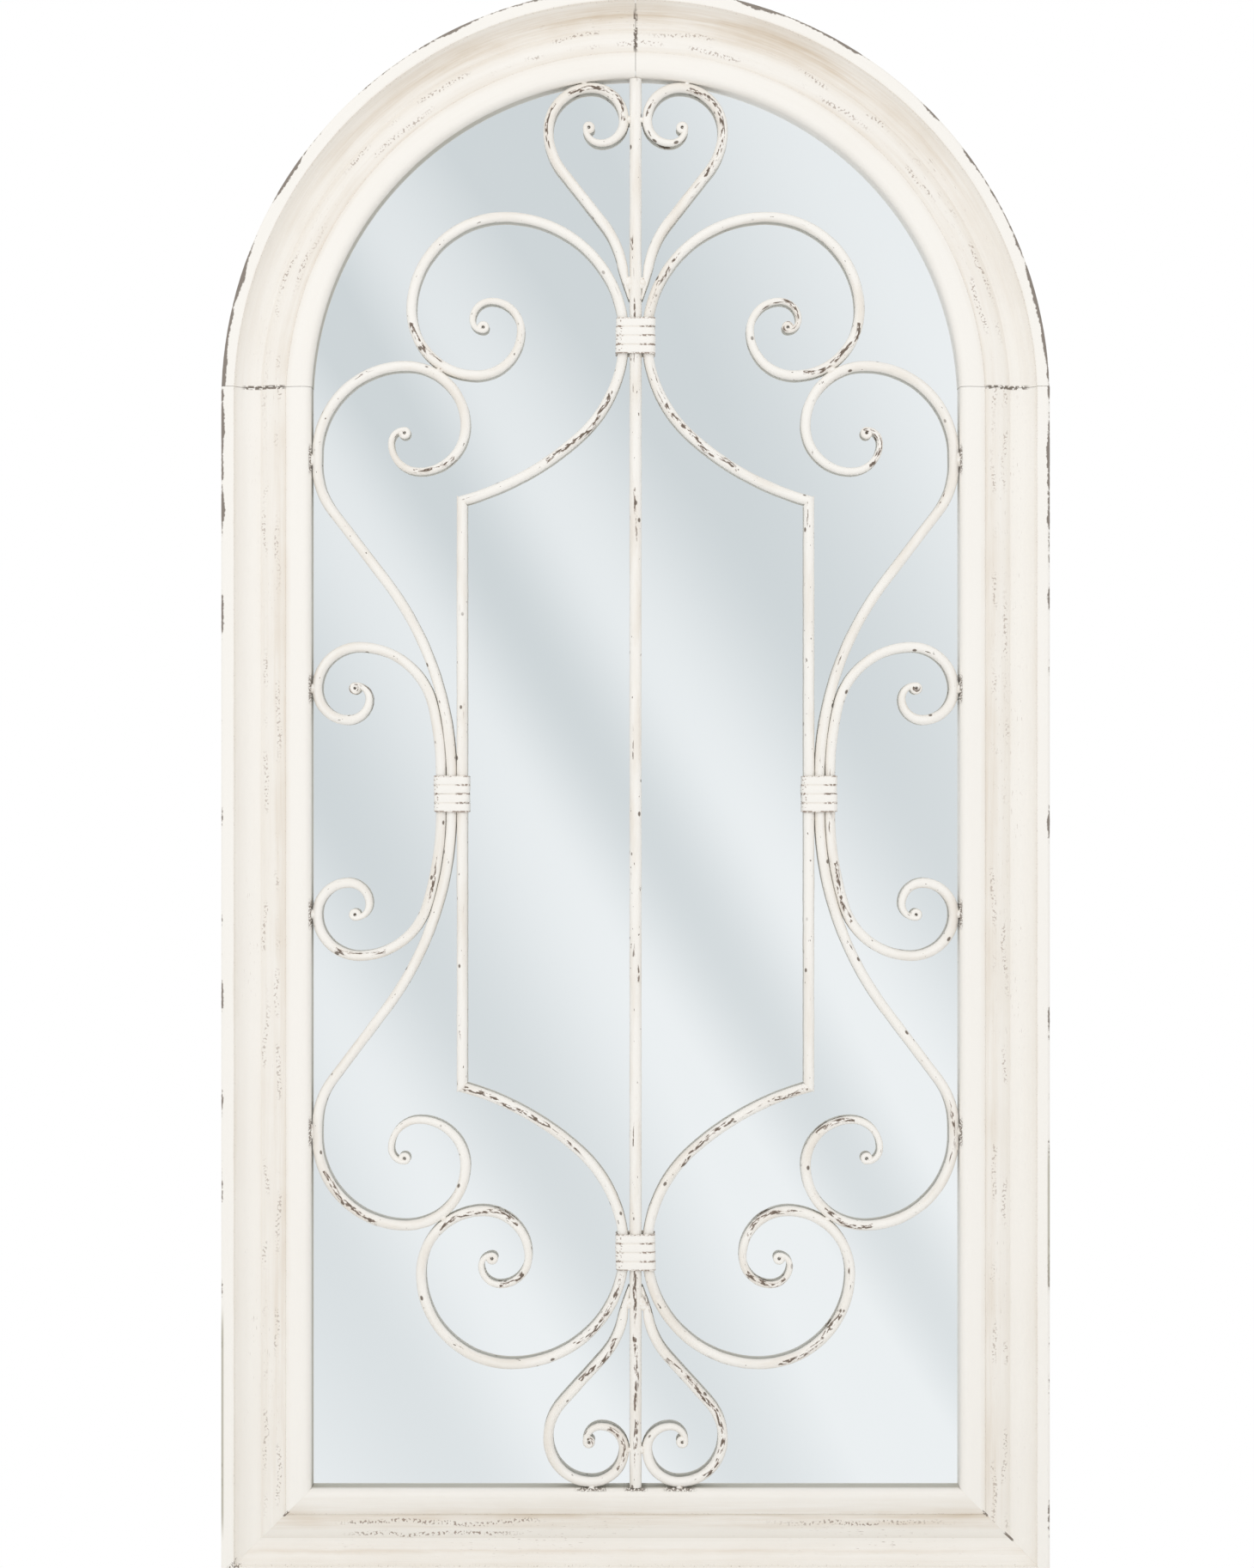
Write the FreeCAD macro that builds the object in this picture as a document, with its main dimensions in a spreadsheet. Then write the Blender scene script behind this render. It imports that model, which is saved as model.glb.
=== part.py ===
import FreeCAD, Part
import math
import os

import Sketcher
from FreeCAD import Placement, Rotation, Vector

# An arched wall mirror: a pressed sheet moulding in five lengths, the glass and its back panel,
# and a grille of scrolled bars that is welded to the moulding's sight edge in front of the glass.
# X runs to the viewer's right, the front faces -Y, the wall is the plane y = 0 and the bottom
# edge lies at z = 0. Pieces of the right half are drawn, and the left half mirrors them.

doc = FreeCAD.newDocument("wall_mirror")

# Driving dimensions, in millimetres, degrees, shares and counts
SIZES = [
    # Outline of the frame
    ("overall_width", 610),
    ("overall_height", 1172),
    ("seam_rise", 11),
    ("seam_gap", 0.3),
    # Section of the moulding, from the outer edge to the sight edge
    ("sheet_thickness", 1.2),
    ("hem_width", 6),
    ("frame_depth", 34),
    ("outer_edge_round", 3),
    ("outer_band", 9.5),
    ("band_step", 3),
    ("step_run", 0.6),
    ("cove_width", 18.5),
    ("cove_radius", 18),
    ("crease_height", 21),
    ("ovolo_width", 19),
    ("ovolo_radius", 20),
    ("ovolo_height", 27.5),
    ("inner_band", 19),
    ("inner_band_base", 29.5),
    ("inner_band_height", 32),
    ("sight_round", 6),
    ("lip_height", 17),
    ("lip_width", 9),
    # Glass and what backs it
    ("glass_lap", 7),
    ("glass_thickness", 4),
    ("foam_thickness", 1),
    ("foam_inset", 4),
    ("panel_thickness", 4),
    ("panel_clearance", 1.5),
    # Bars of the grille
    ("weld_gap", 0.2),
    ("centre_rod", 9),
    ("side_rod", 8),
    ("scroll_rod", 7.5),
    ("scroll_tip", 4),
    ("eye_hole", 1),
    ("eye_turn", 165),
    ("glass_air", 0.8),
    # Angles and shares that shape the scrolls
    ("panel_bend_turn", 48),
    ("shoulder_lean_share", 0.8),
    ("shoulder_hip_share", 0.19),
    ("upper_side_follow", 13),
    ("lower_side_follow", 17.2),
    ("heart_lean_share", 0.72),
    ("heart_hip_share", 0.4),
    # Collars wrapped round three bars
    ("collar_height", 26.5),
    ("collar_wall", 1.5),
    ("collar_corner", 3),
    ("collar_turns", 4),
    ("collar_groove", 0.8),
    ("collar_groove_depth", 0.5),
    # Lugs that hold the back panel behind the hem
    ("lug_width", 14),
    ("lug_foot", 24),
    ("lug_thickness", 1.2),
    ("lug_setback", 1),
    ("lug_hole_inset", 6),
    ("lug_low", 230),
    ("lug_high", 650),
    ("lug_rail", 150),
    ("lug_arch_angle", 50),
    # Screws
    ("screw_shank", 3),
    ("screw_length", 3.5),
    ("screw_head", 6.5),
    ("screw_head_height", 1.8),
    ("screw_clearance", 0.3),
    # Strap hangers with swinging D rings
    ("hanger_inset", 115),
    ("hanger_drop", 47),
    ("strap_width", 12),
    ("strap_length", 50),
    ("strap_thickness", 1.2),
    ("strap_screw_air", 3),
    ("strap_screw_inset", 8),
    ("ring_wire", 2.6),
    ("ring_clearance", 0.35),
    ("ring_half_width", 11.5),
    ("ring_leg", 6),
    ("ring_corner", 3),
]

# Lengths of the scroll pattern. They hold for an opening as wide as it is drawn for, from the centre
# to the line of the welds, and are fitted in proportion to the opening that the frame leaves.
PATTERN = [
    ("pattern_half_width", 235.05),
    # Heights of the collars and the corners of the middle panel
    ("upper_collar_rise", 49),
    ("lower_collar_rise", 174),
    ("side_bar_x", 128),
    ("panel_corner_drop", 121.5),
    ("panel_bend", 100),
    # Quarter turns of the large upper and lower scrolls, from the collar to the eye
    ("upper_turn_1", 88),
    ("upper_turn_2", 69),
    ("upper_turn_3", 48),
    ("upper_turn_4", 33),
    ("upper_turn_5", 22),
    ("upper_turn_6", 14),
    ("upper_turn_7", 8),
    ("lower_turn_1", 83),
    ("lower_turn_2", 67),
    ("lower_turn_3", 46),
    ("lower_turn_4", 33.5),
    ("lower_turn_5", 21),
    ("lower_turn_6", 14),
    ("lower_turn_7", 8),
    # Shoulder scrolls: long stems that lean out to the frame and curl inwards. The second turn is as
    # wide as it takes to rest against the large scroll, at a height below or above that one's knot.
    ("shoulder_flat", 8),
    ("upper_knot_drop", 85),
    ("lower_knot_drop", 79.3),
    ("shoulder_turn_1", 65.5),
    ("shoulder_turn_3", 34),
    ("shoulder_turn_4", 21),
    ("shoulder_turn_5", 10),
    # Side scrolls: they follow the shoulder stem out of the collar, then curl against the frame
    ("side_turn_1", 31),
    ("side_turn_2", 23),
    ("side_turn_3", 15.5),
    ("side_turn_4", 10.5),
    # Hearts at the crown and the sill
    ("heart_stem_air", 3),
    ("heart_turn_1", 32),
    ("heart_turn_2", 24),
    ("heart_turn_3", 17),
    ("heart_turn_4", 11.5),
]

sizes = doc.addObject("Spreadsheet::Sheet", "sizes")
for row, (name, number) in enumerate(SIZES + PATTERN, start=1):
    sizes.set("A%d" % row, name)
    sizes.set("B%d" % row, str(number))
    sizes.setAlias("B%d" % row, name)

layout = doc.addObject("Spreadsheet::Sheet", "layout")
layout_rows = 0


def work_out(name, formula):
    """Adds a value that follows from the driving dimensions."""
    global layout_rows
    layout_rows += 1
    layout.set("A%d" % layout_rows, name)
    layout.set("B%d" % layout_rows, "=" + formula)
    layout.setAlias("B%d" % layout_rows, name)


def s_bend(name, run, rise, lean_share):
    """Works out an S bend between two upright stretches: two arcs and the straight between them."""
    lean = "layout.%s_lean" % name
    work_out(name + "_run", run)
    work_out(name + "_rise", rise)
    run = "layout.%s_run" % name
    rise = "layout.%s_rise" % name
    work_out(name + "_lean", "2 * %s * atan(%s / %s)" % (lean_share, run, rise))
    work_out(name + "_bends", "({0} * sin({2}) - {1} * cos({2})) / (1 - cos({2}))".format(rise, run, lean))
    work_out(name + "_straight", "%s / tan(%s / 2) - %s" % (run, lean, rise))


# Frame and planes
work_out("face_width", "sizes.outer_band + sizes.cove_width + sizes.ovolo_width + sizes.inner_band")
work_out("half_width", "sizes.overall_width / 2")
work_out("spring", "sizes.overall_height - layout.half_width")
work_out("sight_half", "layout.half_width - layout.face_width")
work_out("crease", "sizes.outer_band + sizes.cove_width")
work_out("ovolo_end", "layout.crease + sizes.ovolo_width")
work_out("glass_half", "layout.sight_half + sizes.glass_lap")
work_out("glass_sill", "layout.face_width - sizes.glass_lap")
work_out("glass_back", "sizes.lip_height - sizes.glass_thickness")
work_out("foam_back", "layout.glass_back - sizes.foam_thickness")
work_out("panel_back", "layout.foam_back - sizes.panel_thickness")
work_out("panel_inset", "sizes.hem_width + sizes.panel_clearance")
work_out("bar_plane", "sizes.lip_height + sizes.glass_air + sizes.collar_wall + sizes.weld_gap"
         " + sizes.centre_rod / 2")
work_out("weld_line", "layout.sight_half - sizes.weld_gap - sizes.scroll_rod / 2")

# The pattern's lengths as fitted to the opening
work_out("pattern_fit", "layout.weld_line / sizes.pattern_half_width")
for name, number in PATTERN[1:]:
    work_out(name, "sizes.%s * layout.pattern_fit" % name)

# Collars and the bars that stand side by side in them
work_out("scroll_pitch", "sizes.scroll_rod + sizes.weld_gap")
work_out("main_x", "sizes.centre_rod / 2 + sizes.weld_gap + sizes.scroll_rod / 2")
work_out("shoulder_x", "layout.side_bar_x + sizes.side_rod / 2 + sizes.weld_gap + sizes.scroll_rod / 2")
work_out("side_x", "layout.shoulder_x + layout.scroll_pitch")
work_out("upper_collar_z", "layout.spring + layout.upper_collar_rise")
work_out("lower_collar_z", "layout.face_width + layout.lower_collar_rise")
work_out("middle", "(layout.upper_collar_z + layout.lower_collar_z) / 2")
work_out("half_collar", "sizes.collar_height / 2")
work_out("upper_corner_z", "layout.upper_collar_z - layout.panel_corner_drop")
work_out("lower_corner_z", "layout.lower_collar_z + layout.panel_corner_drop")

# Where each shoulder scroll rests against the third turn of the large scroll
work_out("shoulder_centre", "layout.weld_line - layout.shoulder_turn_1")
for end, sign in (("upper", "+"), ("lower", "-")):
    away = "-" if sign == "+" else "+"
    turn = "layout.%s_turn_" % end
    work_out(end + "_knot_x", "layout.main_x + {0}1 + {0}2 - {0}3".format(turn))
    work_out(end + "_knot_z", "layout.{0}_collar_z {1} ({2}1 - {2}2)".format(end, sign, turn))
    reach = "sqrt((layout.shoulder_centre - layout.{0}_knot_x) ^ 2 + layout.{0}_knot_drop ^ 2)".format(end)
    work_out(end + "_shoulder_turn_2", "%s - %s3 - layout.scroll_pitch" % (reach, turn))
    step_in = "(layout.shoulder_turn_1 - layout.%s_shoulder_turn_2)" % end
    shoulder_z = "layout.{0}_knot_z {1} layout.{0}_knot_drop {1} {2}"
    work_out(end + "_shoulder_z", shoulder_z.format(end, away, step_in))

s_bend("upper_stem", "layout.weld_line - layout.shoulder_x",
       "layout.upper_shoulder_z - layout.shoulder_flat - layout.middle - layout.half_collar",
       "sizes.shoulder_lean_share")
s_bend("lower_stem", "layout.weld_line - layout.shoulder_x",
       "layout.middle - layout.half_collar - layout.lower_shoulder_z - layout.shoulder_flat",
       "sizes.shoulder_lean_share")

# Side scrolls share the stem's curve as far as the angle that they follow it
for end in ("upper", "lower"):
    work_out(end + "_side_bend", "layout.%s_stem_bends * (1 - sizes.shoulder_hip_share)"
             " - layout.scroll_pitch" % end)
    follow = "cos(sizes.%s_side_follow * 1 deg)" % end
    side_space = ("(layout.weld_line - layout.side_turn_1 - layout.side_x"
                  " - layout.{0}_side_bend * (1 - {1})) / {1}")
    work_out(end + "_side_arm", side_space.format(end, follow))

# Hearts: the upper one touches the arch and the lower one the sill, and both touch the centre bar
work_out("heart_belly_x", "layout.main_x + layout.heart_turn_2 + layout.heart_turn_1")
work_out("heart_centre_x", "layout.main_x + layout.heart_turn_2")
work_out("upper_heart_z", "layout.spring + sqrt((layout.weld_line - layout.heart_turn_1) ^ 2"
         " - layout.heart_centre_x ^ 2)")
work_out("lower_heart_z", "layout.face_width + sizes.weld_gap + sizes.scroll_rod / 2 + layout.heart_turn_1")
for end, sign in (("upper", "+"), ("lower", "-")):
    turn = "layout.%s_turn_1" % end
    part_way = "sqrt({0} ^ 2 - ({0} - layout.scroll_pitch) ^ 2)".format(turn)
    stem_end = "layout.{0}_collar_z {1} {2} {1} layout.heart_stem_air"
    work_out(end + "_stem_end", stem_end.format(end, sign, part_way))
s_bend("upper_heart", "layout.heart_belly_x - layout.main_x", "layout.upper_heart_z - layout.upper_stem_end",
       "sizes.heart_lean_share")
s_bend("lower_heart", "layout.heart_belly_x - layout.main_x", "layout.lower_stem_end - layout.lower_heart_z",
       "sizes.heart_lean_share")

# Hangers
work_out("hanger_x", "layout.half_width - sizes.hanger_inset")
work_out("hanger_z", "layout.spring - sizes.hanger_drop")
work_out("loop_bore", "sizes.ring_wire / 2 + sizes.ring_clearance")
work_out("loop_outer", "layout.loop_bore + sizes.strap_thickness")
work_out("pivot_plane", "layout.panel_back - layout.loop_outer")
work_out("strap_screw_1", "sizes.ring_leg + sizes.ring_half_width + sizes.ring_wire / 2"
         " + sizes.strap_screw_air + sizes.screw_head / 2")
work_out("strap_screw_2", "sizes.strap_length - sizes.strap_screw_inset")
doc.recompute()


def value(expression):
    """Number that an expression stands for at the present sizes."""
    result = layout.evalExpression(expression)
    return getattr(result, "Value", result)


# Drawing helpers

# Quarter turn in degrees, and how near two points have to lie to be one
QUARTER = 90
TOUCHING = 1e-6


def new_body(label, depth=None):
    """Body for one piece, set forward of the wall by a depth."""
    body = doc.addObject("PartDesign::Body", label)
    body.Label = label
    if depth:
        body.setExpression("Placement.Base.y", "-(%s)" % depth)
    return body


def new_sketch(body, name, role, offset=None):
    """Sketch on one of the body's own origin planes, moved along its normal by an offset."""
    sketch = body.newObject("Sketcher::SketchObject", name)
    plane = next(feature for feature in body.Origin.OriginFeatures if feature.Role == role)
    sketch.AttachmentSupport = [(plane, "")]
    sketch.MapMode = "FlatFace"
    if offset:
        sketch.setExpression("AttachmentOffset.Base.z", offset)
    return sketch


def bind(sketch, expression, kind, *where):
    """Dimension of a sketch that follows an expression."""
    number = value(expression)
    if kind == "Angle":
        number = math.radians(number)
    index = sketch.addConstraint(Sketcher.Constraint(kind, *where, number))
    sketch.setExpression("Constraints[%d]" % index, expression)


def place_point(sketch, index, position, across, up):
    """Ties a point to the sketch's origin; an empty expression puts it on that axis."""
    if across:
        bind(sketch, across, "DistanceX", -1, 1, index, position)
    else:
        sketch.addConstraint(Sketcher.Constraint("PointOnObject", index, position, -2))
    if up:
        bind(sketch, up, "DistanceY", -1, 1, index, position)
    else:
        sketch.addConstraint(Sketcher.Constraint("PointOnObject", index, position, -1))


def ahead(point, heading, distance):
    """Point at a distance along a heading in degrees."""
    angle = math.radians(heading)
    return point + Vector(math.cos(angle), math.sin(angle), 0) * distance


def arc_points(point, heading, radius, sweep):
    """Start, middle and end of an arc that leaves a point along a heading; it turns left if sweep > 0."""
    side = math.copysign(QUARTER, sweep)
    centre = ahead(point, heading + side, radius)
    return [ahead(centre, heading - side + sweep * share, radius) for share in (0, 0.5, 1)]


def reach_sweep(point, heading, target):
    """Radius and sweep of the arc that leaves a point along a heading and ends at a target."""
    chord = target - point
    turn = math.degrees(math.atan2(chord.y, chord.x)) - heading
    turn = (turn + 180) % 360 - 180
    return chord.Length / 2 / abs(math.sin(math.radians(turn))), 2 * turn


def draw_chain(sketch, start, heading, legs):
    """Draws tangent legs one after the other and returns where, and along which heading, they end.

    A leg is ("run", length), ("turn", radius, side) for a quarter turn, ("bend", radius, angle, side)
    or ("reach", across, up) for an arc that ends at a point. Side is 1 to the left and -1 to the right.
    """
    point = Vector(*[value(place) if place else 0 for place in start], 0)
    tail = None
    for leg in legs:
        kind = leg[0]
        sweep = 0
        if kind == "run":
            finish = ahead(point, heading, value(leg[1]))
            edge = Part.LineSegment(point, finish)
        else:
            if kind == "turn":
                radius = value(leg[1])
                sweep = QUARTER * leg[2]
            elif kind == "bend":
                radius = value(leg[1])
                sweep = value(leg[2]) * leg[3]
            else:
                target = Vector(value(leg[1]), value(leg[2]), 0)
                radius, sweep = reach_sweep(point, heading, target)
            first, middle, finish = arc_points(point, heading, radius, sweep)
            edge = Part.Arc(first, middle, finish)
        index = sketch.addGeometry(edge, False)
        head = 1 if sketch.getPoint(index, 1).distanceToPoint(point) < TOUCHING else 2
        end = 3 - head
        upright = abs(math.cos(math.radians(heading))) < TOUCHING
        level_or_upright = ("Vertical", "Horizontal") if upright else ("Horizontal", "Vertical")
        if tail:
            sketch.addConstraint(Sketcher.Constraint("Tangent", tail[0], tail[1], index, head))
        else:
            place_point(sketch, index, head, *start)
            if kind == "run":
                sketch.addConstraint(Sketcher.Constraint(level_or_upright[0], index))
            else:
                sketch.addConstraint(Sketcher.Constraint(level_or_upright[1], index, head, index, 3))
        if kind == "run":
            bind(sketch, leg[1], "Distance", index)
        elif kind == "reach":
            place_point(sketch, index, end, leg[1], leg[2])
        else:
            bind(sketch, leg[1], "Radius", index)
            if kind == "turn":
                sketch.addConstraint(Sketcher.Constraint(level_or_upright[0], index, end, index, 3))
            else:
                bind(sketch, leg[2], "Angle", index)
        point = finish
        heading += sweep
        tail = (index, end)
    return point, heading


def draw_circle(sketch, across, up, diameter):
    """Circle at a place in a sketch."""
    centre = Vector(value(across) if across else 0, value(up) if up else 0, 0)
    index = sketch.addGeometry(Part.Circle(centre, Vector(0, 0, 1), value(diameter) / 2), False)
    place_point(sketch, index, 3, across, up)
    bind(sketch, diameter, "Diameter", index)


def pad(body, name, sketch, length, both_ways=False):
    """Pad of a sketch by a length, to one side or half to each."""
    feature = body.newObject("PartDesign::Pad", name)
    feature.Profile = sketch
    feature.Midplane = both_ways
    feature.setExpression("Length", length)
    return feature


def sweep_bar(body, name, path, profile):
    """Bar of a round profile along a path."""
    pipe = body.newObject("PartDesign::AdditivePipe", name)
    pipe.Profile = profile
    pipe.Spine = (path, [])
    return pipe


def part_object(kind, name, **properties):
    """Object of a kind with its properties set."""
    made = doc.addObject(kind, name)
    for key, setting in properties.items():
        setattr(made, key, setting)
    return made


def bound_box(name, base, length, width, height, turn=0):
    """Box whose corner and sides follow expressions, turned about Y."""
    box = doc.addObject("Part::Box", name)
    for axis, expression in zip("xyz", base):
        box.setExpression("Placement.Base." + axis, expression)
    box.Placement.Rotation = Rotation(Vector(0, 1, 0), turn)
    box.setExpression("Length", length)
    box.setExpression("Width", width)
    box.setExpression("Height", height)
    return box


pieces = []


def keep(made, label):
    """Makes an object one of the mirror's pieces."""
    made.Label = label
    pieces.append(made)
    return made


def keep_pair(right, name):
    """Keeps a piece of the right half and its mirror image on the left."""
    keep(right, name + "_right")
    left = part_object("Part::Mirroring", name + "_left", Source=right, Normal=Vector(1, 0, 0))
    keep(left, name + "_left")


# Pressed moulding

def moulding_section(name):
    """Outer skin of the moulding: across from the outer edge, up from the wall."""
    crease = "layout.crease"
    ovolo_end = "layout.ovolo_end"
    points = [
        ("sizes.hem_width", ""),
        ("", ""),
        ("", "sizes.frame_depth - sizes.outer_edge_round"),
        ("sizes.outer_edge_round", "sizes.frame_depth"),
        ("sizes.outer_band", "sizes.frame_depth"),
        ("sizes.outer_band + sizes.step_run", "sizes.frame_depth - sizes.band_step"),
        (crease, "sizes.crease_height"),
        (ovolo_end, "sizes.ovolo_height"),
        (ovolo_end + " + sizes.step_run", "sizes.inner_band_base"),
        ("layout.face_width - sizes.sight_round", "sizes.inner_band_height"),
        ("layout.face_width", "sizes.inner_band_height - sizes.sight_round"),
        ("layout.face_width", "sizes.lip_height"),
        ("layout.face_width - sizes.lip_width", "sizes.lip_height"),
    ]
    # Radius of the arc that leaves a point, and the side to which it turns. The last of them rolls
    # smoothly off the crown of the inner band to the sight edge.
    sight_turn = 9
    arcs = {
        2: ("sizes.outer_edge_round", -1),
        5: ("sizes.cove_radius", 1),
        6: ("sizes.ovolo_radius", -1),
        8: ("", -1),
        sight_turn: ("sizes.sight_round", -1),
    }
    sketch = doc.addObject("Sketcher::SketchObject", name)
    spots = [Vector(value(u) if u else 0, value(v) if v else 0, 0) for u, v in points]
    heads = []
    for i in range(len(points) - 1):
        start, finish = spots[i], spots[i + 1]
        if i not in arcs:
            edge = Part.LineSegment(start, finish)
        else:
            radius, side = arcs[i]
            chord = finish - start
            # An arc with no radius of its own arrives level, at the crown of the inner band
            reach = value(radius) if radius else chord.Length ** 2 / 2 / chord.y
            half_turn = math.degrees(math.asin(chord.Length / 2 / reach))
            heading = math.degrees(math.atan2(chord.y, chord.x)) - side * half_turn
            edge = Part.Arc(*arc_points(start, heading, reach, side * 2 * half_turn))
        index = sketch.addGeometry(edge, False)
        heads.append(1 if sketch.getPoint(index, 1).distanceToPoint(start) < TOUCHING else 2)
        place_point(sketch, index, heads[i], *points[i])
        if i:
            joint = "Tangent" if i == sight_turn else "Coincident"
            sketch.addConstraint(Sketcher.Constraint(joint, i - 1, 3 - heads[i - 1], index, heads[i]))
        if i in arcs and arcs[i][0]:
            bind(sketch, arcs[i][0], "Radius", index)
    last = len(points) - 2
    place_point(sketch, last, 3 - heads[last], *points[-1])
    return sketch


def sheet_skin(name, sketch):
    """Face of the sheet's thickness behind the outer skin."""
    skin = part_object("Part::Offset2D", name, Source=sketch, Mode="Skin", Join="Intersection", Fill=True)
    skin.setExpression("Value", "sizes.sheet_thickness")
    return skin


def make_frame():
    """Arch, stiles and bottom rail, cut at the level seams, the crown and the mitres."""
    mitre = 45
    beyond = "sizes.frame_depth"
    near = "-2 * sizes.frame_depth"
    deep = "3 * sizes.frame_depth"
    tall = "2 * layout.face_width"
    half_gap = "sizes.seam_gap / 2"
    mitre_shift = "sizes.seam_gap / 2 / sqrt(2)"

    section = moulding_section("side_section")
    section.setExpression("Placement.Base.x", "layout.half_width")
    section.setExpression("Placement.Base.z", "layout.spring")
    section.Placement.Rotation = Rotation(Vector(0, 0, 1), 180)
    skin = sheet_skin("side_skin", section)

    ring = part_object("Part::Revolution", "arch_blank", Source=skin, Axis=Vector(0, -1, 0), Solid=True)
    ring.setExpression("Base.z", "layout.spring")
    ring.setExpression("Angle", "90 deg - asin(%s / layout.sight_half)" % half_gap)
    below = bound_box("below_seam",
                      ("layout.sight_half - " + beyond, near, "layout.spring - " + beyond),
                      "layout.face_width + 2 * " + beyond, deep,
                      "%s + sizes.seam_rise + %s" % (beyond, half_gap))
    keep_pair(part_object("Part::Cut", "arch", Base=ring, Tool=below), "arch")

    upright = part_object("Part::Extrusion", "stile_blank", Base=skin, DirMode="Custom",
                          Dir=Vector(0, 0, -1), Solid=True)
    upright.setExpression("LengthFwd", "layout.spring")
    upright.setExpression("LengthRev", "sizes.seam_rise - " + half_gap)
    under = bound_box("under_mitre",
                      ("layout.half_width + %s + %s" % (beyond, mitre_shift), near,
                       "%s - %s" % (mitre_shift, beyond)),
                      "(layout.face_width + 2 * %s) * sqrt(2)" % beyond, deep, tall, mitre - 180)
    keep_pair(part_object("Part::Cut", "stile", Base=upright, Tool=under), "stile")

    section = moulding_section("rail_section")
    section.Placement.Rotation = Rotation(Vector(0, 0, 1), Vector(0, -1, 0), Vector(1, 0, 0), "ZXY")
    skin = sheet_skin("rail_skin", section)
    level = part_object("Part::Extrusion", "rail_blank", Base=skin, DirMode="Custom",
                        Dir=Vector(1, 0, 0), Solid=True)
    level.setExpression("LengthFwd", "layout.half_width")
    level.setExpression("LengthRev", "layout.half_width")
    over = bound_box("over_mitre",
                     ("layout.sight_half - %s - %s" % (beyond, mitre_shift), near,
                      "layout.face_width + %s - %s" % (beyond, mitre_shift)),
                     "(layout.face_width + 2 * %s) * sqrt(2)" % beyond, deep, tall, mitre)
    other = part_object("Part::Mirroring", "over_mitre_left", Source=over, Normal=Vector(1, 0, 0))
    ends = part_object("Part::MultiFuse", "over_mitres", Shapes=[over, other])
    keep(part_object("Part::Cut", "bottom_rail", Base=level, Tool=ends), "bottom_rail")


# Glass, foam and back panel

def arched_plate(label, half, sill, back, thickness):
    """Plate with a half-round head, from its back plane forward by its thickness."""
    body = new_body(label, back)
    sketch = new_sketch(body, label + "_outline", "XZ_Plane")
    reach = value(half)
    spring = value("layout.spring")
    right_foot, left_foot = [Vector(side * reach, value(sill), 0) for side in (1, -1)]
    right_spring, left_spring = [Vector(side * reach, spring, 0) for side in (1, -1)]
    crown = Vector(0, spring + reach, 0)
    head = sketch.addGeometry(Part.Arc(right_spring, crown, left_spring), False)
    left = sketch.addGeometry(Part.LineSegment(left_spring, left_foot), False)
    base = sketch.addGeometry(Part.LineSegment(left_foot, right_foot), False)
    right = sketch.addGeometry(Part.LineSegment(right_foot, right_spring), False)
    sketch.addConstraint(Sketcher.Constraint("Tangent", head, 2, left, 1))
    sketch.addConstraint(Sketcher.Constraint("Coincident", left, 2, base, 1))
    sketch.addConstraint(Sketcher.Constraint("Coincident", base, 2, right, 1))
    sketch.addConstraint(Sketcher.Constraint("Tangent", right, 2, head, 1))
    sketch.addConstraint(Sketcher.Constraint("Vertical", left))
    sketch.addConstraint(Sketcher.Constraint("Vertical", right))
    sketch.addConstraint(Sketcher.Constraint("Horizontal", base))
    place_point(sketch, head, 3, "", "layout.spring")
    bind(sketch, half, "Radius", head)
    bind(sketch, sill, "DistanceY", -1, 1, base, 1)
    pad(body, label + "_plate", sketch, thickness)
    return body


# Places along the frame's outer edge, and the turn about Y that points a lug inwards from there
LUG_PLACES = []
for height in ("sizes.lug_low", "sizes.lug_high"):
    LUG_PLACES.append(("layout.half_width", height, "180"))
    LUG_PLACES.append(("-layout.half_width", height, "0"))
for rail_place in ("sizes.lug_rail", "-sizes.lug_rail"):
    LUG_PLACES.append((rail_place, "", "-90"))
for lean in ("sizes.lug_arch_angle", "(180 - sizes.lug_arch_angle)"):
    LUG_PLACES.append(("layout.half_width * cos(%s * 1 deg)" % lean,
                       "layout.spring + layout.half_width * sin(%s * 1 deg)" % lean,
                       "180 - " + lean))

# Places of the screws that hold the straps
STRAP_SCREW_PLACES = []
for strap_side in ("", "-"):
    for drop in ("layout.strap_screw_1", "layout.strap_screw_2"):
        STRAP_SCREW_PLACES.append((strap_side + "layout.hanger_x", "layout.hanger_z - " + drop, "0"))


def repeat(name, original, places):
    """Copies of a small piece, each at a place across and up and turned about Y, as one group."""
    copies = []
    for number, (across, up, turn) in enumerate(places, start=1):
        copy = part_object("App::Link", "%s_%d" % (name, number), LinkedObject=original, LinkTransform=True)
        copy.Placement.Rotation = Rotation(Vector(0, 1, 0), value(turn))
        copy.setExpression("Placement.Base.x", across)
        if up:
            copy.setExpression("Placement.Base.z", up)
        copies.append(copy)
    return part_object("Part::Compound", name, Links=copies)


def depth_rod(name, across, back, diameter, length, front=True):
    """Cylinder square to the wall that runs forward, or back, from a plane."""
    rod = part_object("Part::Cylinder", name)
    rod.Placement.Rotation = Rotation(Vector(1, 0, 0), 90 if front else -90)
    if across:
        rod.setExpression("Placement.Base.x", across)
    rod.setExpression("Placement.Base.y", "-(%s)" % back)
    rod.setExpression("Radius", "(%s) / 2" % diameter)
    rod.setExpression("Height", length)
    return rod


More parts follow.
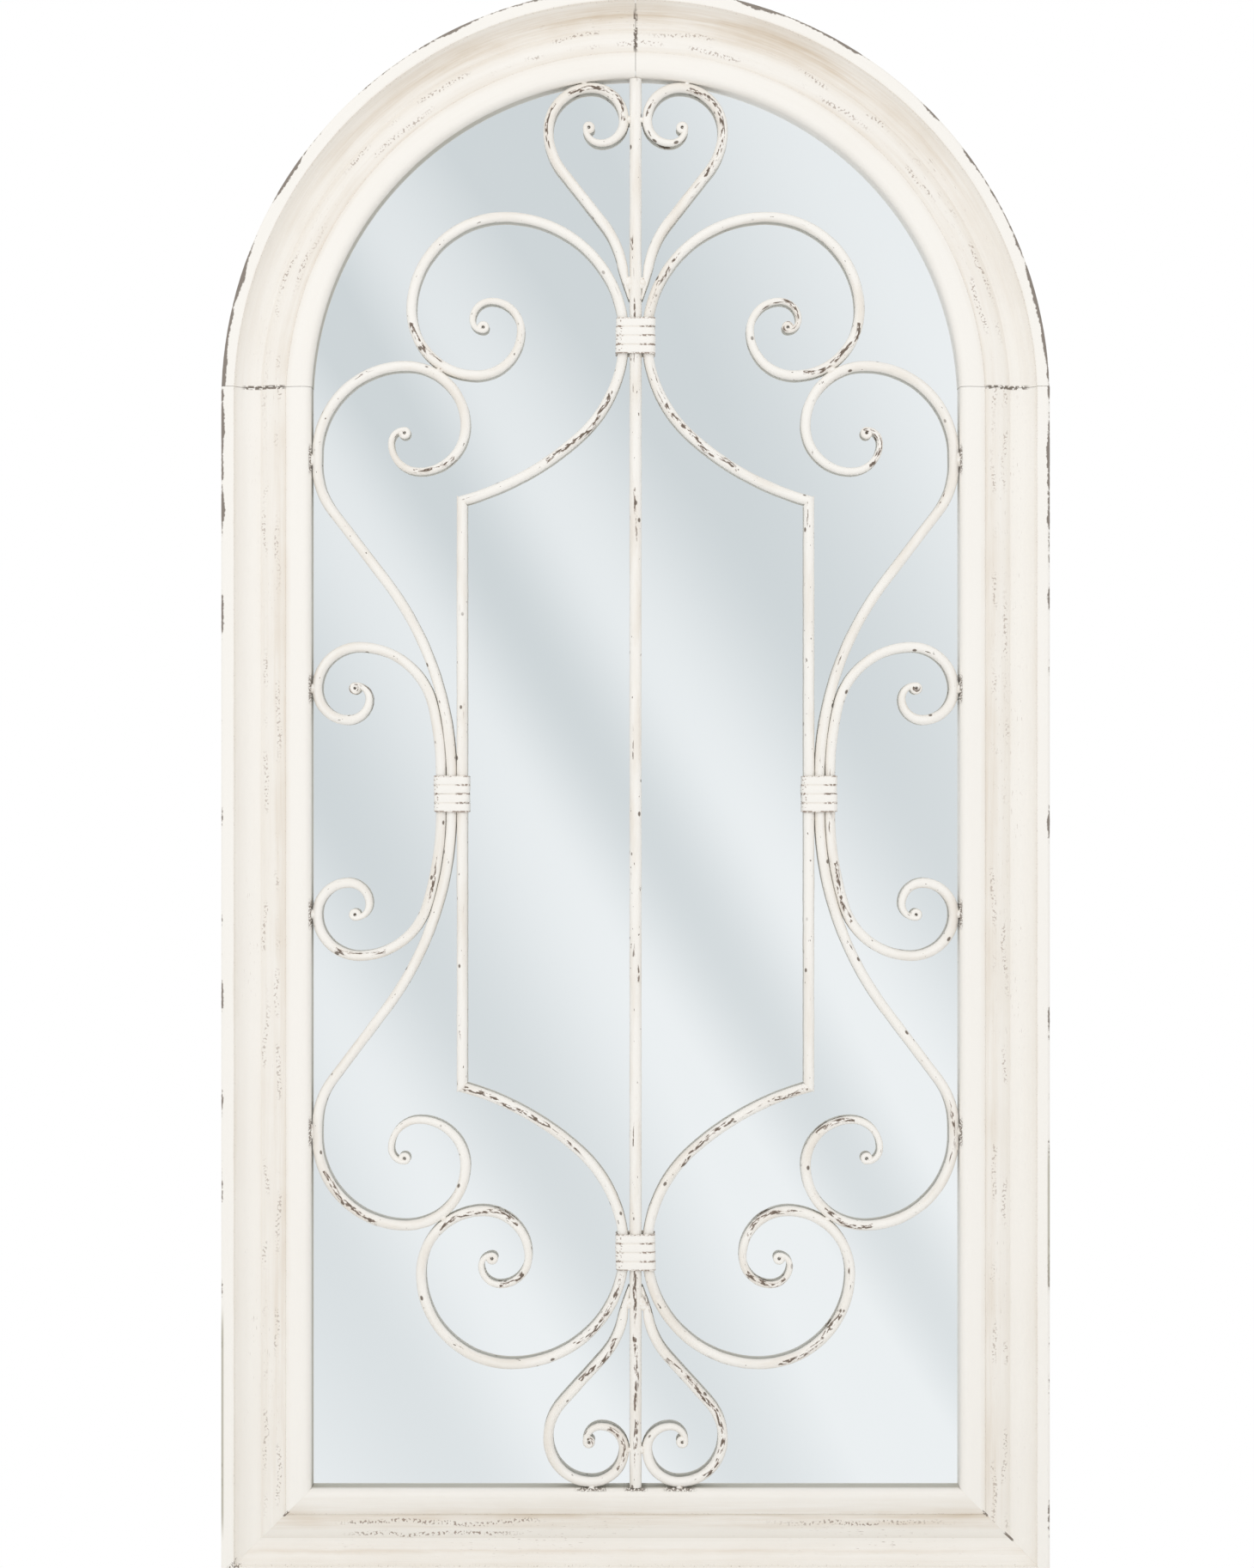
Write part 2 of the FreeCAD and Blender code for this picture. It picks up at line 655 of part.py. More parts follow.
def screw(name, across, seat):
    """Screw driven forward, its head seated on a plane and towards the wall."""
    shank = depth_rod(name + "_shank", across, seat, "sizes.screw_shank", "sizes.screw_length")
    head = part_object("Part::Cone", name + "_head")
    head.Placement.Rotation = Rotation(Vector(1, 0, 0), -90)
    if across:
        head.setExpression("Placement.Base.x", across)
    head.setExpression("Placement.Base.y", "-(%s)" % seat)
    head.setExpression("Radius1", "sizes.screw_head / 2")
    head.setExpression("Radius2", "sizes.screw_head / 4")
    head.setExpression("Height", "sizes.screw_head_height")
    return part_object("Part::Fuse", name, Base=head, Tool=shank)


SCREW_HOLE = "sizes.screw_shank + 2 * sizes.screw_clearance"
LUG_HOLE = "sizes.lug_foot - sizes.lug_hole_inset"


def make_backing():
    """Glass, foam sheet and back panel, with the lugs and screws that hold them."""
    keep(arched_plate("mirror_glass", "layout.glass_half", "layout.glass_sill", "layout.glass_back",
                      "sizes.glass_thickness"), "mirror_glass")
    keep(arched_plate("foam_sheet", "layout.glass_half - sizes.foam_inset",
                      "layout.glass_sill + sizes.foam_inset", "layout.foam_back", "sizes.foam_thickness"),
         "foam_sheet")
    plate = arched_plate("back_panel_plate", "layout.half_width - layout.panel_inset", "layout.panel_inset",
                         "layout.panel_back", "sizes.panel_thickness")
    pilot = depth_rod("lug_pilot", LUG_HOLE, "layout.panel_back", SCREW_HOLE, "sizes.panel_thickness")
    strap_pilot = depth_rod("strap_pilot", "", "layout.panel_back", SCREW_HOLE, "sizes.panel_thickness")
    pilots = [
        repeat("lug_pilots", pilot, LUG_PLACES),
        repeat("strap_pilots", strap_pilot, STRAP_SCREW_PLACES),
    ]
    drilled = part_object("Part::Compound", "pilot_holes", Links=pilots)
    keep(part_object("Part::Cut", "back_panel", Base=plate, Tool=drilled), "back_panel")

    leg_place = "sizes.sheet_thickness + sizes.lug_setback"
    corner = (leg_place, "-layout.panel_back", "-sizes.lug_width / 2")
    leg = bound_box("lug_leg", corner, "sizes.lug_thickness", "layout.panel_back - sizes.sheet_thickness",
                    "sizes.lug_width")
    foot = bound_box("lug_foot", corner, "sizes.lug_foot - (%s)" % leg_place, "sizes.lug_thickness",
                     "sizes.lug_width")
    bent = part_object("Part::Fuse", "lug_bent", Base=leg, Tool=foot)
    hole = depth_rod("lug_hole", LUG_HOLE, "layout.panel_back", SCREW_HOLE,
                     "sizes.lug_thickness", front=False)
    lug = part_object("Part::Cut", "lug", Base=bent, Tool=hole)
    keep(repeat("panel_lugs", lug, LUG_PLACES), "panel_lugs")
    lug_screw = screw("lug_screw", LUG_HOLE, "layout.panel_back - sizes.lug_thickness")
    keep(repeat("panel_screws", lug_screw, LUG_PLACES), "panel_screws")


# Hangers

def cross_rod(name, radius, width):
    """Cylinder along X through the hanger's pivot."""
    rod = part_object("Part::Cylinder", name)
    rod.Placement.Rotation = Rotation(Vector(0, 1, 0), 90)
    rod.setExpression("Placement.Base.x", "layout.hanger_x - (%s) / 2" % width)
    rod.setExpression("Placement.Base.y", "-layout.pivot_plane")
    rod.setExpression("Placement.Base.z", "layout.hanger_z")
    rod.setExpression("Radius", radius)
    rod.setExpression("Height", width)
    return rod


def make_hangers():
    """Strap bent round the straight leg of a D ring, with two screws."""
    width = "sizes.strap_width"
    rear = "layout.panel_back - sizes.strap_thickness"
    end_z = "layout.hanger_z - sizes.strap_length + %s / 2" % width
    tongue = bound_box("strap_tongue", ("layout.hanger_x - %s / 2" % width, "-layout.panel_back", end_z),
                       width, "sizes.strap_thickness", "sizes.strap_length - %s / 2" % width)
    toe = depth_rod("strap_toe", "layout.hanger_x", "layout.panel_back", width,
                    "sizes.strap_thickness", front=False)
    toe.setExpression("Placement.Base.z", end_z)
    loop = cross_rod("strap_loop", "layout.loop_outer", width)
    blank = part_object("Part::MultiFuse", "strap_blank", Shapes=[tongue, toe, loop])
    cuts = [cross_rod("strap_bore", "layout.loop_bore", width)]
    for number, drop in enumerate(("layout.strap_screw_1", "layout.strap_screw_2"), start=1):
        hole = depth_rod("strap_hole_%d" % number, "layout.hanger_x", "layout.panel_back", SCREW_HOLE,
                         "sizes.strap_thickness", front=False)
        hole.setExpression("Placement.Base.z", "layout.hanger_z - " + drop)
        cuts.append(hole)
    tools = part_object("Part::Compound", "strap_cuts", Links=cuts)
    keep_pair(part_object("Part::Cut", "hanger_strap", Base=blank, Tool=tools), "hanger_strap")

    body = new_body("hanger_ring", "layout.pivot_plane")
    body.setExpression("Placement.Base.x", "layout.hanger_x")
    body.setExpression("Placement.Base.z", "layout.hanger_z")
    joint = "sizes.weld_gap / 2"
    profile = new_sketch(body, "ring_round", "YZ_Plane", joint)
    draw_circle(profile, "", "", "sizes.ring_wire")
    path = new_sketch(body, "ring_path", "XZ_Plane")
    top = ("run", "sizes.ring_half_width - sizes.ring_corner - " + joint)
    corner = ("turn", "sizes.ring_corner", -1)
    side = ("run", "sizes.ring_leg - sizes.ring_corner")
    bow = ("turn", "sizes.ring_half_width", -1)
    draw_chain(path, (joint, ""), 0, [top, corner, side, bow, bow, side, corner, top])
    sweep_bar(body, "ring_wire", path, profile)
    keep_pair(body, "hanger_ring")

    strap_screw = screw("strap_screw", "", rear)
    keep(repeat("hanger_screws", strap_screw, STRAP_SCREW_PLACES), "hanger_screws")


# Grille

def bar_profile(body, across, height):
    """Round of a scroll bar, level, at the height where it is held."""
    sketch = new_sketch(body, body.Name + "_round", "XY_Plane", height)
    draw_circle(sketch, across, "", "sizes.scroll_rod")
    return sketch


# Largest angle between two rounds of a curl
CURL_STEP = 30


def curl(name, point, heading, turns, side):
    """End of a scroll: the bar thins along its last quarter turns and closes in a rolled eye."""
    radii = [value(turn) for turn in turns]
    tip = value("sizes.scroll_tip")
    eye = (tip + value("sizes.eye_hole")) / 2
    arcs = [(radius, QUARTER) for radius in radii] + [(eye, value("sizes.eye_turn"))]
    length = sum(radii)
    gone = 0
    stations = [(point, heading, 0)]
    for radius, sweep in arcs:
        count = math.ceil(sweep / CURL_STEP)
        for number in range(1, count + 1):
            turned = sweep * number / count
            spot = arc_points(point, heading, radius, side * turned)[2]
            thinned = min(1, gone + radius * turned / QUARTER / length)
            stations.append((spot, heading + side * turned, thinned))
        point, heading, gone = stations[-1]
    depth = value("layout.bar_plane")
    rounds = []
    for number, (spot, along, thinned) in enumerate(stations):
        angle = math.radians(along)
        forward = Vector(math.cos(angle), 0, math.sin(angle))
        inward = Vector(-math.sin(angle), 0, math.cos(angle))
        ring = part_object("Part::Circle", "%s_round_%d" % (name, number))
        taper = "(sizes.scroll_rod * %.4f + sizes.scroll_tip * %.4f) / 2"
        ring.setExpression("Radius", taper % (1 - thinned, thinned))
        ring.Placement = Placement(Vector(spot.x, -depth, spot.y), Rotation(inward, Vector(), forward, "ZXY"))
        rounds.append(ring)
    return part_object("Part::Loft", name, Sections=rounds, Solid=True, Ruled=True)


def mitre_block(name, corner_z, bisector, gap_side):
    """Block whose face lies in the mitre plane of a panel corner; it removes one side of that plane."""
    reach = "2 * sizes.scroll_rod"
    block = doc.addObject("Part::Box", name)
    for side in ("Length", "Width", "Height"):
        block.setExpression(side, "2 * (%s)" % reach)
    along = Vector(math.cos(math.radians(bisector)), 0, math.sin(math.radians(bisector)))
    out = Vector(-along.z, 0, along.x) * gap_side
    corner = Vector(value("layout.side_bar_x"), -value("layout.bar_plane"), value(corner_z))
    turn = Rotation(along * gap_side, Vector(), out, "ZXY")
    back = turn.multVec(Vector(value(reach), value(reach), 0))
    base = corner - out * value("sizes.weld_gap / 2") - back
    block.Placement = Placement(base, turn)
    return block


def main_scroll(end, up):
    """Large scroll: from its collar into the curl, and the other way as the arc to a panel's corner."""
    label = end + "_scroll"
    body = new_body(label + "_bar", "layout.bar_plane")
    start = ("layout.main_x", "layout.%s_collar_z" % end)
    corner_z = "layout.%s_corner_z" % end
    profile = bar_profile(body, *start)
    turns = ["layout.%s_turn_%d" % (end, number) for number in range(1, 8)]
    path = new_sketch(body, label + "_sweep", "XZ_Plane")
    point, heading = draw_chain(path, start, QUARTER * up, [("turn", turn, -up) for turn in turns[:3]])
    sweep_bar(body, label + "_scrolled", path, profile)
    path = new_sketch(body, label + "_arc", "XZ_Plane")
    corner, corner_heading = draw_chain(path, start, -QUARTER * up, [
        ("bend", "layout.panel_bend", "sizes.panel_bend_turn", up),
        ("reach", "layout.side_bar_x", corner_z),
        ("run", "sizes.side_rod"),
    ])
    sweep_bar(body, label + "_arced", path, profile)
    tip = curl(label + "_curl", point, heading, turns[3:], -up)
    whole = part_object("Part::MultiFuse", label + "_whole", Shapes=[body, tip])
    bisector = (corner_heading + 2 * QUARTER - QUARTER * up) / 2
    block = mitre_block(label + "_mitre", corner_z, bisector, -1)
    keep_pair(part_object("Part::Cut", label, Base=whole, Tool=block), label)
    return bisector


def stem_legs(name, hip_share, out):
    """Legs of an S bend out of a collar: the long bend, the straight and the hip."""
    bends = "layout.%s_bends" % name
    lean = "layout.%s_lean" % name
    return [
        ("bend", "%s * (1 - %s)" % (bends, hip_share), lean, out),
        ("run", "layout.%s_straight" % name),
        ("bend", "%s * %s" % (bends, hip_share), lean, -out),
    ]


def two_ended(label, across, legs_of, turns, sides):
    """Bar held in a side collar and scrolled at both ends."""
    body = new_body(label + "_bar", "layout.bar_plane")
    start = (across, "layout.middle")
    profile = bar_profile(body, *start)
    shapes = [body]
    for end, up in (("upper", 1), ("lower", -1)):
        path = new_sketch(body, "%s_%s_path" % (label, end), "XZ_Plane")
        point, heading = draw_chain(path, start, QUARTER * up, legs_of(end, up))
        sweep_bar(body, "%s_%s" % (label, end), path, profile)
        shapes.append(curl("%s_%s_curl" % (label, end), point, heading, turns, sides * up))
    keep_pair(part_object("Part::MultiFuse", label, Shapes=shapes), label)


def shoulder_legs(end, up):
    """Straight through the collar, out to the frame, a short weld and the first turns of the curl."""
    legs = [("run", "layout.half_collar")]
    legs += stem_legs(end + "_stem", "sizes.shoulder_hip_share", -up)
    legs.append(("run", "layout.shoulder_flat"))
    legs.append(("turn", "layout.shoulder_turn_1", up))
    legs.append(("turn", "layout.%s_shoulder_turn_2" % end, up))
    return legs


def side_legs(end, up):
    """Straight through the collar, along the shoulder stem, then over to the frame."""
    return [
        ("run", "layout.half_collar"),
        ("bend", "layout.%s_side_bend" % end, "sizes.%s_side_follow" % end, -up),
        ("bend", "layout.%s_side_arm" % end, "90 - sizes.%s_side_follow" % end, -up),
        ("turn", "layout.side_turn_1", -up),
        ("turn", "layout.side_turn_2", -up),
    ]


def heart_half(end, up):
    """Half of a heart: a stem off the centre bar, a belly and a curl back to the bar."""
    label = end + "_heart"
    body = new_body(label + "_bar", "layout.bar_plane")
    start = ("layout.main_x", "layout.%s_stem_end" % end)
    profile = bar_profile(body, *start)
    path = new_sketch(body, label + "_path", "XZ_Plane")
    legs = stem_legs(label, "sizes.heart_hip_share", -up)
    legs += [("turn", "layout.heart_turn_%d" % number, up) for number in (1, 2)]
    point, heading = draw_chain(path, start, QUARTER * up, legs)
    sweep_bar(body, label + "_swept", path, profile)
    tip = curl(label + "_curl", point, heading, ["layout.heart_turn_3", "layout.heart_turn_4"], up)
    keep_pair(part_object("Part::MultiFuse", label, Shapes=[body, tip]), label)


def collar(label, across, height, half_inside, depth):
    """Band wrapped round three bars, with a groove between each of its turns."""
    body = new_body(label, "layout.bar_plane")
    if across:
        body.setExpression("Placement.Base.x", across)
    body.setExpression("Placement.Base.z", height + " - layout.half_collar")
    half_depth = "%s / 2 + sizes.weld_gap" % depth
    wall = "sizes.collar_wall"
    band = new_sketch(body, label + "_band", "XY_Plane")
    inner_corner = "sizes.collar_corner"
    outer_corner = "%s + %s" % (inner_corner, wall)
    draw_rounded(band, half_inside, half_depth, inner_corner)
    draw_rounded(band, "%s + %s" % (half_inside, wall), "%s + %s" % (half_depth, wall), outer_corner)
    pad(body, label + "_wrap", band, "sizes.collar_height")
    doc.recompute()
    root = wall + " - sizes.collar_groove_depth"
    pitch = "sizes.collar_height / sizes.collar_turns"
    cut = new_sketch(body, label + "_groove", "XY_Plane", pitch + " - sizes.collar_groove / 2")
    root_corner = "%s + %s" % (inner_corner, root)
    clear = "2 * " + wall
    draw_rounded(cut, "%s + %s" % (half_inside, root), "%s + %s" % (half_depth, root), root_corner)
    draw_rounded(cut, "%s + %s" % (half_inside, clear), "%s + %s" % (half_depth, clear), outer_corner)
    groove = body.newObject("PartDesign::Pocket", label + "_cut")
    groove.Profile = cut
    groove.Reversed = True
    groove.setExpression("Length", "sizes.collar_groove")
    doc.recompute()
    rows = body.newObject("PartDesign::LinearPattern", label + "_grooves")
    rows.Originals = [groove]
    rows.Direction = (next(f for f in body.Origin.OriginFeatures if f.Role == "Z_Axis"), [""])
    rows.setExpression("Length", pitch + " * (sizes.collar_turns - 2)")
    rows.setExpression("Occurrences", "sizes.collar_turns - 1")
    body.Tip = rows
    return body


def draw_rounded(sketch, half_width, half_depth, corner):
    """Rectangle about the origin with rounded corners."""
    w, d, r = value(half_width), value(half_depth), value(corner)
    signs = [(1, 1), (-1, 1), (-1, -1), (1, -1)]
    arcs = []
    lines = []
    for number, (across, up) in enumerate(signs):
        centre = Vector(across * (w - r), up * (d - r), 0)
        points = [ahead(centre, QUARTER * (number + share), r) for share in (0, 0.5, 1)]
        arcs.append(sketch.addGeometry(Part.Arc(*points), False))
    for number in range(4):
        first = sketch.getPoint(arcs[number], 2)
        second = sketch.getPoint(arcs[(number + 1) % 4], 1)
        lines.append(sketch.addGeometry(Part.LineSegment(first, second), False))
    for number in range(4):
        following = arcs[(number + 1) % 4]
        sketch.addConstraint(Sketcher.Constraint("Tangent", arcs[number], 2, lines[number], 1))
        sketch.addConstraint(Sketcher.Constraint("Tangent", lines[number], 2, following, 1))
        if number:
            sketch.addConstraint(Sketcher.Constraint("Equal", arcs[0], arcs[number]))
    sketch.addConstraint(Sketcher.Constraint("Horizontal", lines[0]))
    sketch.addConstraint(Sketcher.Constraint("Vertical", lines[1]))
    bind(sketch, corner, "Radius", arcs[0])
    sketch.addConstraint(Sketcher.Constraint("Symmetric", arcs[0], 3, arcs[2], 3, -1, 1))
    bind(sketch, "%s - (%s)" % (half_width, corner), "DistanceX", -1, 1, arcs[0], 3)
    bind(sketch, "%s - (%s)" % (half_depth, corner), "DistanceY", -1, 1, arcs[0], 3)


def make_grille():
    """Bars, scrolls, hearts and collars."""
    centre = part_object("Part::Cylinder", "centre_bar")
    centre.setExpression("Radius", "sizes.centre_rod / 2")
    centre.setExpression("Placement.Base.y", "-layout.bar_plane")
    centre.setExpression("Placement.Base.z", "layout.face_width + sizes.weld_gap")
    opening = "layout.spring + layout.sight_half - layout.face_width"
    centre.setExpression("Height", opening + " - 2 * sizes.weld_gap")
    keep(centre, "centre_bar")

    upper_bisector = main_scroll("upper", 1)
    lower_bisector = main_scroll("lower", -1)
    rod = part_object("Part::Cylinder", "side_bar_blank")
    rod.setExpression("Radius", "sizes.side_rod / 2")
    rod.setExpression("Placement.Base.x", "layout.side_bar_x")
    rod.setExpression("Placement.Base.y", "-layout.bar_plane")
    rod.setExpression("Placement.Base.z", "layout.lower_corner_z - sizes.side_rod")
    rod.setExpression("Height", "layout.upper_corner_z - layout.lower_corner_z + 2 * sizes.side_rod")
    tools = [
        mitre_block("upper_corner_mitre", "layout.upper_corner_z", upper_bisector, 1),
        mitre_block("lower_corner_mitre", "layout.lower_corner_z", lower_bisector, 1),
    ]
    both = part_object("Part::MultiFuse", "corner_mitres", Shapes=tools)
    keep_pair(part_object("Part::Cut", "side_bar", Base=rod, Tool=both), "side_bar")

    two_ended("shoulder_scroll", "layout.shoulder_x", shoulder_legs,
              ["layout.shoulder_turn_3", "layout.shoulder_turn_4", "layout.shoulder_turn_5"], 1)
    two_ended("side_scroll", "layout.side_x", side_legs, ["layout.side_turn_3", "layout.side_turn_4"], -1)
    heart_half("upper", 1)
    heart_half("lower", -1)

    for end in ("upper", "lower"):
        tighter = "min(layout.%s_turn_1; layout.panel_bend)" % end
        spread = "{0} - sqrt({0} ^ 2 - layout.half_collar ^ 2)".format(tighter)
        inside = "layout.main_x + sizes.scroll_rod / 2 + sizes.weld_gap + " + spread
        label = end + "_collar"
        keep(collar(label, "", "layout.%s_z" % label, inside, "sizes.centre_rod"), label)
    across = "(layout.side_bar_x - sizes.side_rod / 2 + layout.side_x + sizes.scroll_rod / 2) / 2"
    inside = ("(layout.side_x + sizes.scroll_rod / 2 - layout.side_bar_x + sizes.side_rod / 2) / 2"
              " + sizes.weld_gap")
    keep_pair(collar("side_collar", across, "layout.middle", inside, "sizes.side_rod"), "side_collar")


make_frame()
make_backing()
make_hangers()
make_grille()
doc.recompute()

# Every object has to be sound before a piece is written
for made in doc.Objects:
    if "Invalid" in made.State or "Error" in made.State:
        raise RuntimeError("%s failed" % made.Label)
os.makedirs("parts", exist_ok=True)
for piece in pieces:
    shape = piece.Shape
    if shape.isNull() or not shape.isValid():
        raise RuntimeError("%s has no sound shape" % piece.Label)
    print("%-24s solids %d volume %.0f" % (piece.Label, len(shape.Solids), shape.Volume))
for piece in pieces:
    piece.Shape.exportStep("parts/%s.step" % piece.Label)
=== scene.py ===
# %% [markdown]
# # Arched wall mirror with a scroll grille
# A pressed sheet moulding holds a silvered glass, and a forged grille stands in front of the glass.
# The moulding, the glass and the back are the CAD pieces themselves, with paint, silver and zinc on
# them. The grille is drawn again here, because forged bars are never quite even and their worn paint
# runs along each bend. Lengths are written in millimetres, as in the CAD model.

# %% Load the frame
import functools
import math
import random

import bpy
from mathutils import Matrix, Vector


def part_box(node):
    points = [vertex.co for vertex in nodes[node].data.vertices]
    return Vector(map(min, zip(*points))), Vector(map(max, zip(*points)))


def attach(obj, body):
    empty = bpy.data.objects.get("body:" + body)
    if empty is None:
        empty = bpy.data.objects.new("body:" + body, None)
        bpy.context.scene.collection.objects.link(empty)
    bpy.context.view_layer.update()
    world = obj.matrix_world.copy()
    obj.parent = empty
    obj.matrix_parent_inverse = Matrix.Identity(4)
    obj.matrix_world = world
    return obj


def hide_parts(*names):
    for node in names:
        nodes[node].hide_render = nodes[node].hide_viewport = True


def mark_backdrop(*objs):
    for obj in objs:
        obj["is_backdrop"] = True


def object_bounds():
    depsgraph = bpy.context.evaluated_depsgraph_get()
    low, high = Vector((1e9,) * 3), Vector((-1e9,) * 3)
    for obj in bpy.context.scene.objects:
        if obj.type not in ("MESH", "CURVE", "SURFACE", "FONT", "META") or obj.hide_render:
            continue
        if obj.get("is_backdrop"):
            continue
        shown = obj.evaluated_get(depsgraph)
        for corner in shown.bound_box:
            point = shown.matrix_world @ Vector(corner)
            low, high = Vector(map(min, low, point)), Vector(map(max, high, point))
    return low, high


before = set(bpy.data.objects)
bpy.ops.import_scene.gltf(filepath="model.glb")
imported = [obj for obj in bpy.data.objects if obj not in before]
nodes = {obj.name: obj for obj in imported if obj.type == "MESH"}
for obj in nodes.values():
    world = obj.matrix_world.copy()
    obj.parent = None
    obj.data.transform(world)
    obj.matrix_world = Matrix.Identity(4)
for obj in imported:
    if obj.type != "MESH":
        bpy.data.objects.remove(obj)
cad_low, cad_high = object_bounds()
MM = 0.001
random.seed(4)
print("CAD pieces:", len(nodes))


# %% [markdown]
# ## Sizes
# The grille repeats the CAD model's pattern: a centre bar, a panel with two uprights, large scrolls
# above and below, shoulder and side scrolls that touch the moulding, and two hearts. A few places
# come from the frame itself, so that each tube lies where its solid does.

# %% Sizes of the grille
def middle_of(node, axis):
    """Middle of a CAD piece along one axis, in millimetres."""
    low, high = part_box(node)
    return (low[axis] + high[axis]) / 2 / MM


HALF_WIDTH = cad_high[0] / MM
SPRING = cad_high[2] / MM - HALF_WIDTH
FACE_WIDTH = 66
SIGHT_HALF = HALF_WIDTH - FACE_WIDTH
SEAM_RISE = 11
BAR_Y = middle_of("centre_bar", 1) * MM
UPPER_COLLAR_Z = middle_of("upper_collar", 2)
LOWER_COLLAR_Z = middle_of("lower_collar", 2)
MIDDLE_Z = middle_of("side_collar_right", 2)
SIDE_BAR_X = middle_of("side_bar_right", 0)
PANEL_CORNER_DROP = 121.5
PANEL_BEND = (100, 48)
WELD_GAP = 0.2
CENTRE_RADIUS = 4.5
SIDE_RADIUS = 4.0
SCROLL_RADIUS = 3.75
TIP_RADIUS = 2.0
EYE = (2.5, 300)
PITCH = 2 * SCROLL_RADIUS + WELD_GAP
WELD_LINE = SIGHT_HALF - WELD_GAP - SCROLL_RADIUS
MAIN_X = CENTRE_RADIUS + WELD_GAP + SCROLL_RADIUS
SHOULDER_X = SIDE_BAR_X + SIDE_RADIUS + WELD_GAP + SCROLL_RADIUS
SIDE_X = SHOULDER_X + PITCH
UPPER_TURNS = (88, 69, 48, 33, 22, 14, 8)
LOWER_TURNS = (83, 67, 46, 33.5, 21, 14, 8)
SHOULDER_TURNS = (65.5, 44, 34, 21, 10)
SHOULDER_FLAT = 8
SHOULDER_LEAN, SHOULDER_HIP = 0.8, 0.19
KNOT_DROPS = {"upper": 85, "lower": 79.3}
SIDE_TURNS = (31, 23, 15.5, 10.5)
SIDE_FOLLOWS = {"upper": 13, "lower": 17.2}
HEART_TURNS = (32, 24, 17, 11.5)
HEART_LEAN, HEART_HIP = 0.72, 0.4
HEART_STEM_AIR = 3
STEM_POINT = 24
STEM_DROP = 12
STEM_EASE = 10
COLLAR_HALF = 13.25
COLLAR_TURNS = 4
COLLAR_WALL = 1.5
COLLAR_CORNER = 4.5

# %% [markdown]
# ## Bending a bar
# A smith bends a straight rod round one form after the other. Here a round of corners is extruded
# along each straight and spun about the centre of each bend, and it is scaled down on its way into
# a curl, so the bar thins to its rolled eye. Each corner also keeps its place along, across and out
# from the bar, which the worn paint and the painted shade on the bar's rear side follow.

# %% Bending
ROUND = 18
LONGEST_STEP = 4.0
WIDEST_STEP = 12.0
FAR_FROM_EYES = 100.0
POINT_SHARE = 0.2


def ahead(point, heading, distance):
    """Point at a distance along a heading in degrees, seen from the front."""
    angle = math.radians(heading)
    return point[0] + math.cos(angle) * distance, point[1] + math.sin(angle) * distance


def run(length):
    """Straight stretch of a bar."""
    return "run", length, 0


def turn(radius, sweep):
    """Bend of a bar, to the left where the sweep is positive."""
    return "turn", radius, sweep


def walk(point, heading, leg):
    """Where a leg ends, and along which heading."""
    kind, size, sweep = leg
    if kind == "run":
        return ahead(point, heading, size), heading
    side = math.copysign(90, sweep)
    centre = ahead(point, heading + side, size)
    return ahead(centre, heading - side + sweep, size), heading + sweep


def trace(point, heading, legs):
    """Point and heading at the start and at the end of every leg."""
    places = [(point, heading)]
    for leg in legs:
        places.append(walk(*places[-1], leg))
    return places


def reach(point, heading, target):
    """Bend that leaves a point along a heading and ends at a target."""
    across = target[0] - point[0]
    up = target[1] - point[1]
    half = (math.degrees(math.atan2(up, across)) - heading + 180) % 360 - 180
    return turn(math.hypot(across, up) / 2 / abs(math.sin(math.radians(half))), 2 * half)


def backwards(legs):
    """The same legs as they come when the bar is followed from its other end."""
    return [(kind, size, -sweep) for kind, size, sweep in reversed(legs)]


def length_of(*legs):
    """Length of legs along the middle of the bar."""
    return sum(size if kind == "run" else size * math.radians(abs(sweep)) for kind, size, sweep in legs)


def rolled(radii, side):
    """Quarter turns of a curl and the eye at its end."""
    return [turn(radius, 90 * side) for radius in radii] + [turn(EYE[0], EYE[1] * side)]


def curl_length(radii):
    """Length of quarter turns."""
    return length_of(*[turn(radius, 90) for radius in radii])


def focus(obj):
    """Makes an object the only one selected."""
    bpy.ops.object.select_all(action="DESELECT")
    obj.select_set(True)
    bpy.context.view_layer.objects.active = obj


def mode(name):
    """Opens the active object for editing, or closes it."""
    bpy.ops.object.mode_set(mode=name)


def edit_all(obj):
    """Opens an object for editing, with all of it selected."""
    focus(obj)
    mode("EDIT")
    bpy.ops.mesh.select_all(action="SELECT")


def named(name):
    """The object that was just added, with a name."""
    bpy.context.object.name = name
    return bpy.context.object


def settle():
    """Applies the place, turn and size of the selected object to its mesh."""
    bpy.ops.object.transform_apply(location=True, rotation=True, scale=True)


def modify(obj, kind, **settings):
    """Changes an object by a modifier, which is applied."""
    focus(obj)
    modifier = obj.modifiers.new(kind, kind)
    for key, setting in settings.items():
        setattr(modifier, key, setting)
    bpy.ops.object.modifier_apply(modifier=modifier.name)


def mark(obj, name, numbers, kind="FLOAT"):
    """Keeps numbers for the corners of an object, which its paint reads."""
    marks = obj.data.attributes.new(name, kind, "POINT")
    marks.data.foreach_set("value" if kind == "FLOAT" else "vector", numbers)


def face_outwards(obj):
    """Turns all faces of an object outwards."""
    edit_all(obj)
    bpy.ops.mesh.normals_make_consistent(inside=False)
    mode("OBJECT")


def step_on(point, heading, leg):
    """Carries the selected round of a bar on by one short leg."""
    kind, size, sweep = leg
    far, far_heading = walk(point, heading, leg)
    if kind == "run":
        move = ((far[0] - point[0]) * MM, 0, (far[1] - point[1]) * MM)
        bpy.ops.mesh.extrude_region_move(TRANSFORM_OT_translate={"value": move})
    else:
        centre = ahead(point, heading + math.copysign(90, sweep), size)
        bpy.ops.mesh.spin(steps=1, angle=math.radians(sweep), axis=(0, 1, 0),
                          center=(centre[0] * MM, BAR_Y, centre[1] * MM))
    return far, far_heading


